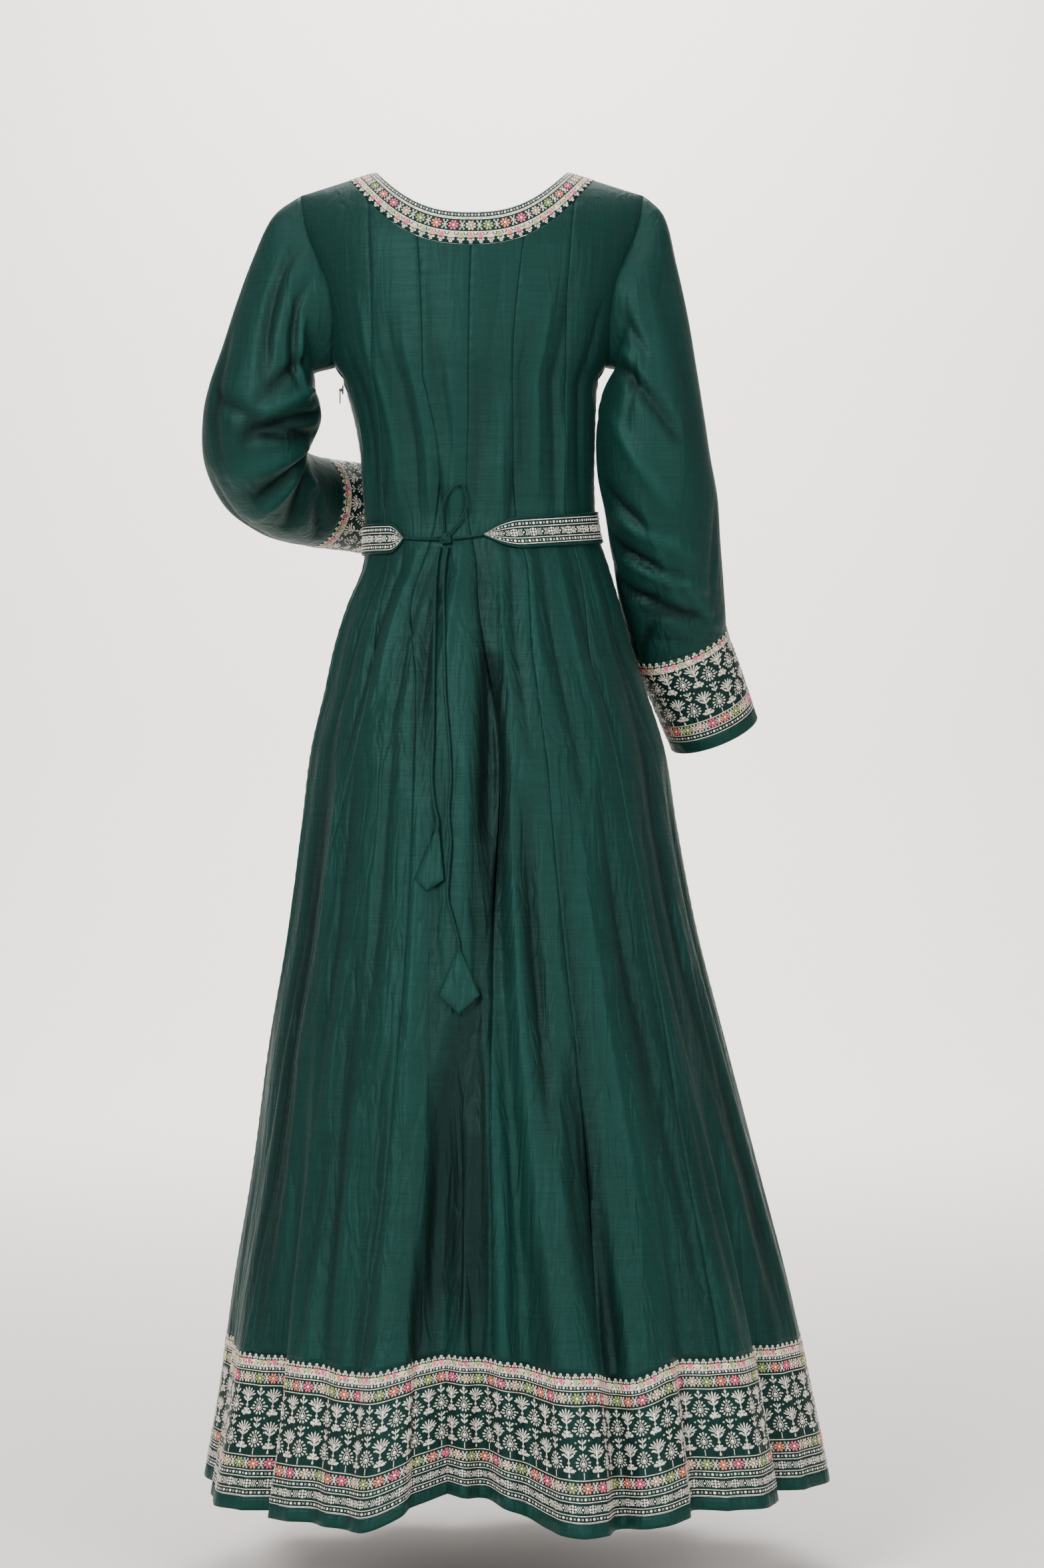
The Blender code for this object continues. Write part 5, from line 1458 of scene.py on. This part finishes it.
hem_normals = grid_normals(hem_band, body_middle(hem_band), around=True)
hem = Border(hem_band, hem_normals, DRAWN_HEM)
count = round(hem.length / FIELD_PITCH)
hem.add(field_repeat(), hem.length * np.arange(count) / count, 32.6)
hem.sew("hem_border_field")
knob_row(hem)
flower_row(hem, 24.0, FLOWER_PITCH)
flower_row(hem, 109.4, FLOWER_PITCH, 5.0, (PINK, CREAM, OLIVE, CORAL))
for across in (11.6, 17.0, 31.3, 102.0, 116.4, 122.8, 135.4, 141.6):
    hem.cord(across)
for across in (14.2, 119.6, 138.5):
    hem.bead_row(across)
count = round(hem.length / HEM_CHEVRON_PITCH)
hem.add(chevrons(), hem.length * np.arange(count) / count, 129.2)
hem.sew("hem_border_rows")

for label in ("left", "right"):
    band = finer_rings(sleeve_forms[label], CUFF_FROM, CUFF_EDGE_FROM, 0.005)
    cuff = Border(band, grid_normals(band, band.mean(axis=1, keepdims=True), around=True),
                  DRAWN_CUFF)
    knob_row(cuff)
    count = round(cuff.length / FIELD_PITCH)
    cuff.add(field_repeat(), cuff.length * np.arange(count) / count, 10.9)
    flower_row(cuff, 84.6, FLOWER_PITCH)
    for across in (10.2, 78.6, 90.6, 97.8):
        cuff.cord(across)
    cuff.bead_row(94.2)
    cuff.sew(f"cuff_border_{label}_embroidery")

neck = Border(neck_band, neck_normals, DRAWN_NECK)
centre_back = neck.run[NECK_COLUMNS // 4]
neck.cord(0.5, 1.0)
neck.bead_row(3.5)
neck.cord(6.6, 1.2)
neck.cord(8.0, 1.4, 1.0)
flower_row(neck, 15.3, NECK_FLOWER_PITCH, centre_back, (CREAM, OLIVE, CORAL, PINK))
neck.cord(22.6, 1.4, 1.0)
knob_row(neck, NECK_KNOB_PITCH, 34.8, -1, centre_back, (CORAL, PINK, CREAM, OLIVE))
neck.sew("neck_border_embroidery")

belt = Border(belt_band, belt_normals, DRAWN_BELT, around=False)
for across in (3.0, 9.5, 20.8, 26.6):
    belt.cord(across)
for across in (6.2, 23.8):
    belt.bead_row(across)
count = round(belt.length / BELT_CHEVRON_PITCH)
between_ends = belt.length - 2 * BELT_CHEVRON_INSET
belt.add(chevrons(), BELT_CHEVRON_INSET + between_ends * np.arange(count) / (count - 1), 15.2)
belt.sew("belt_embroidery")
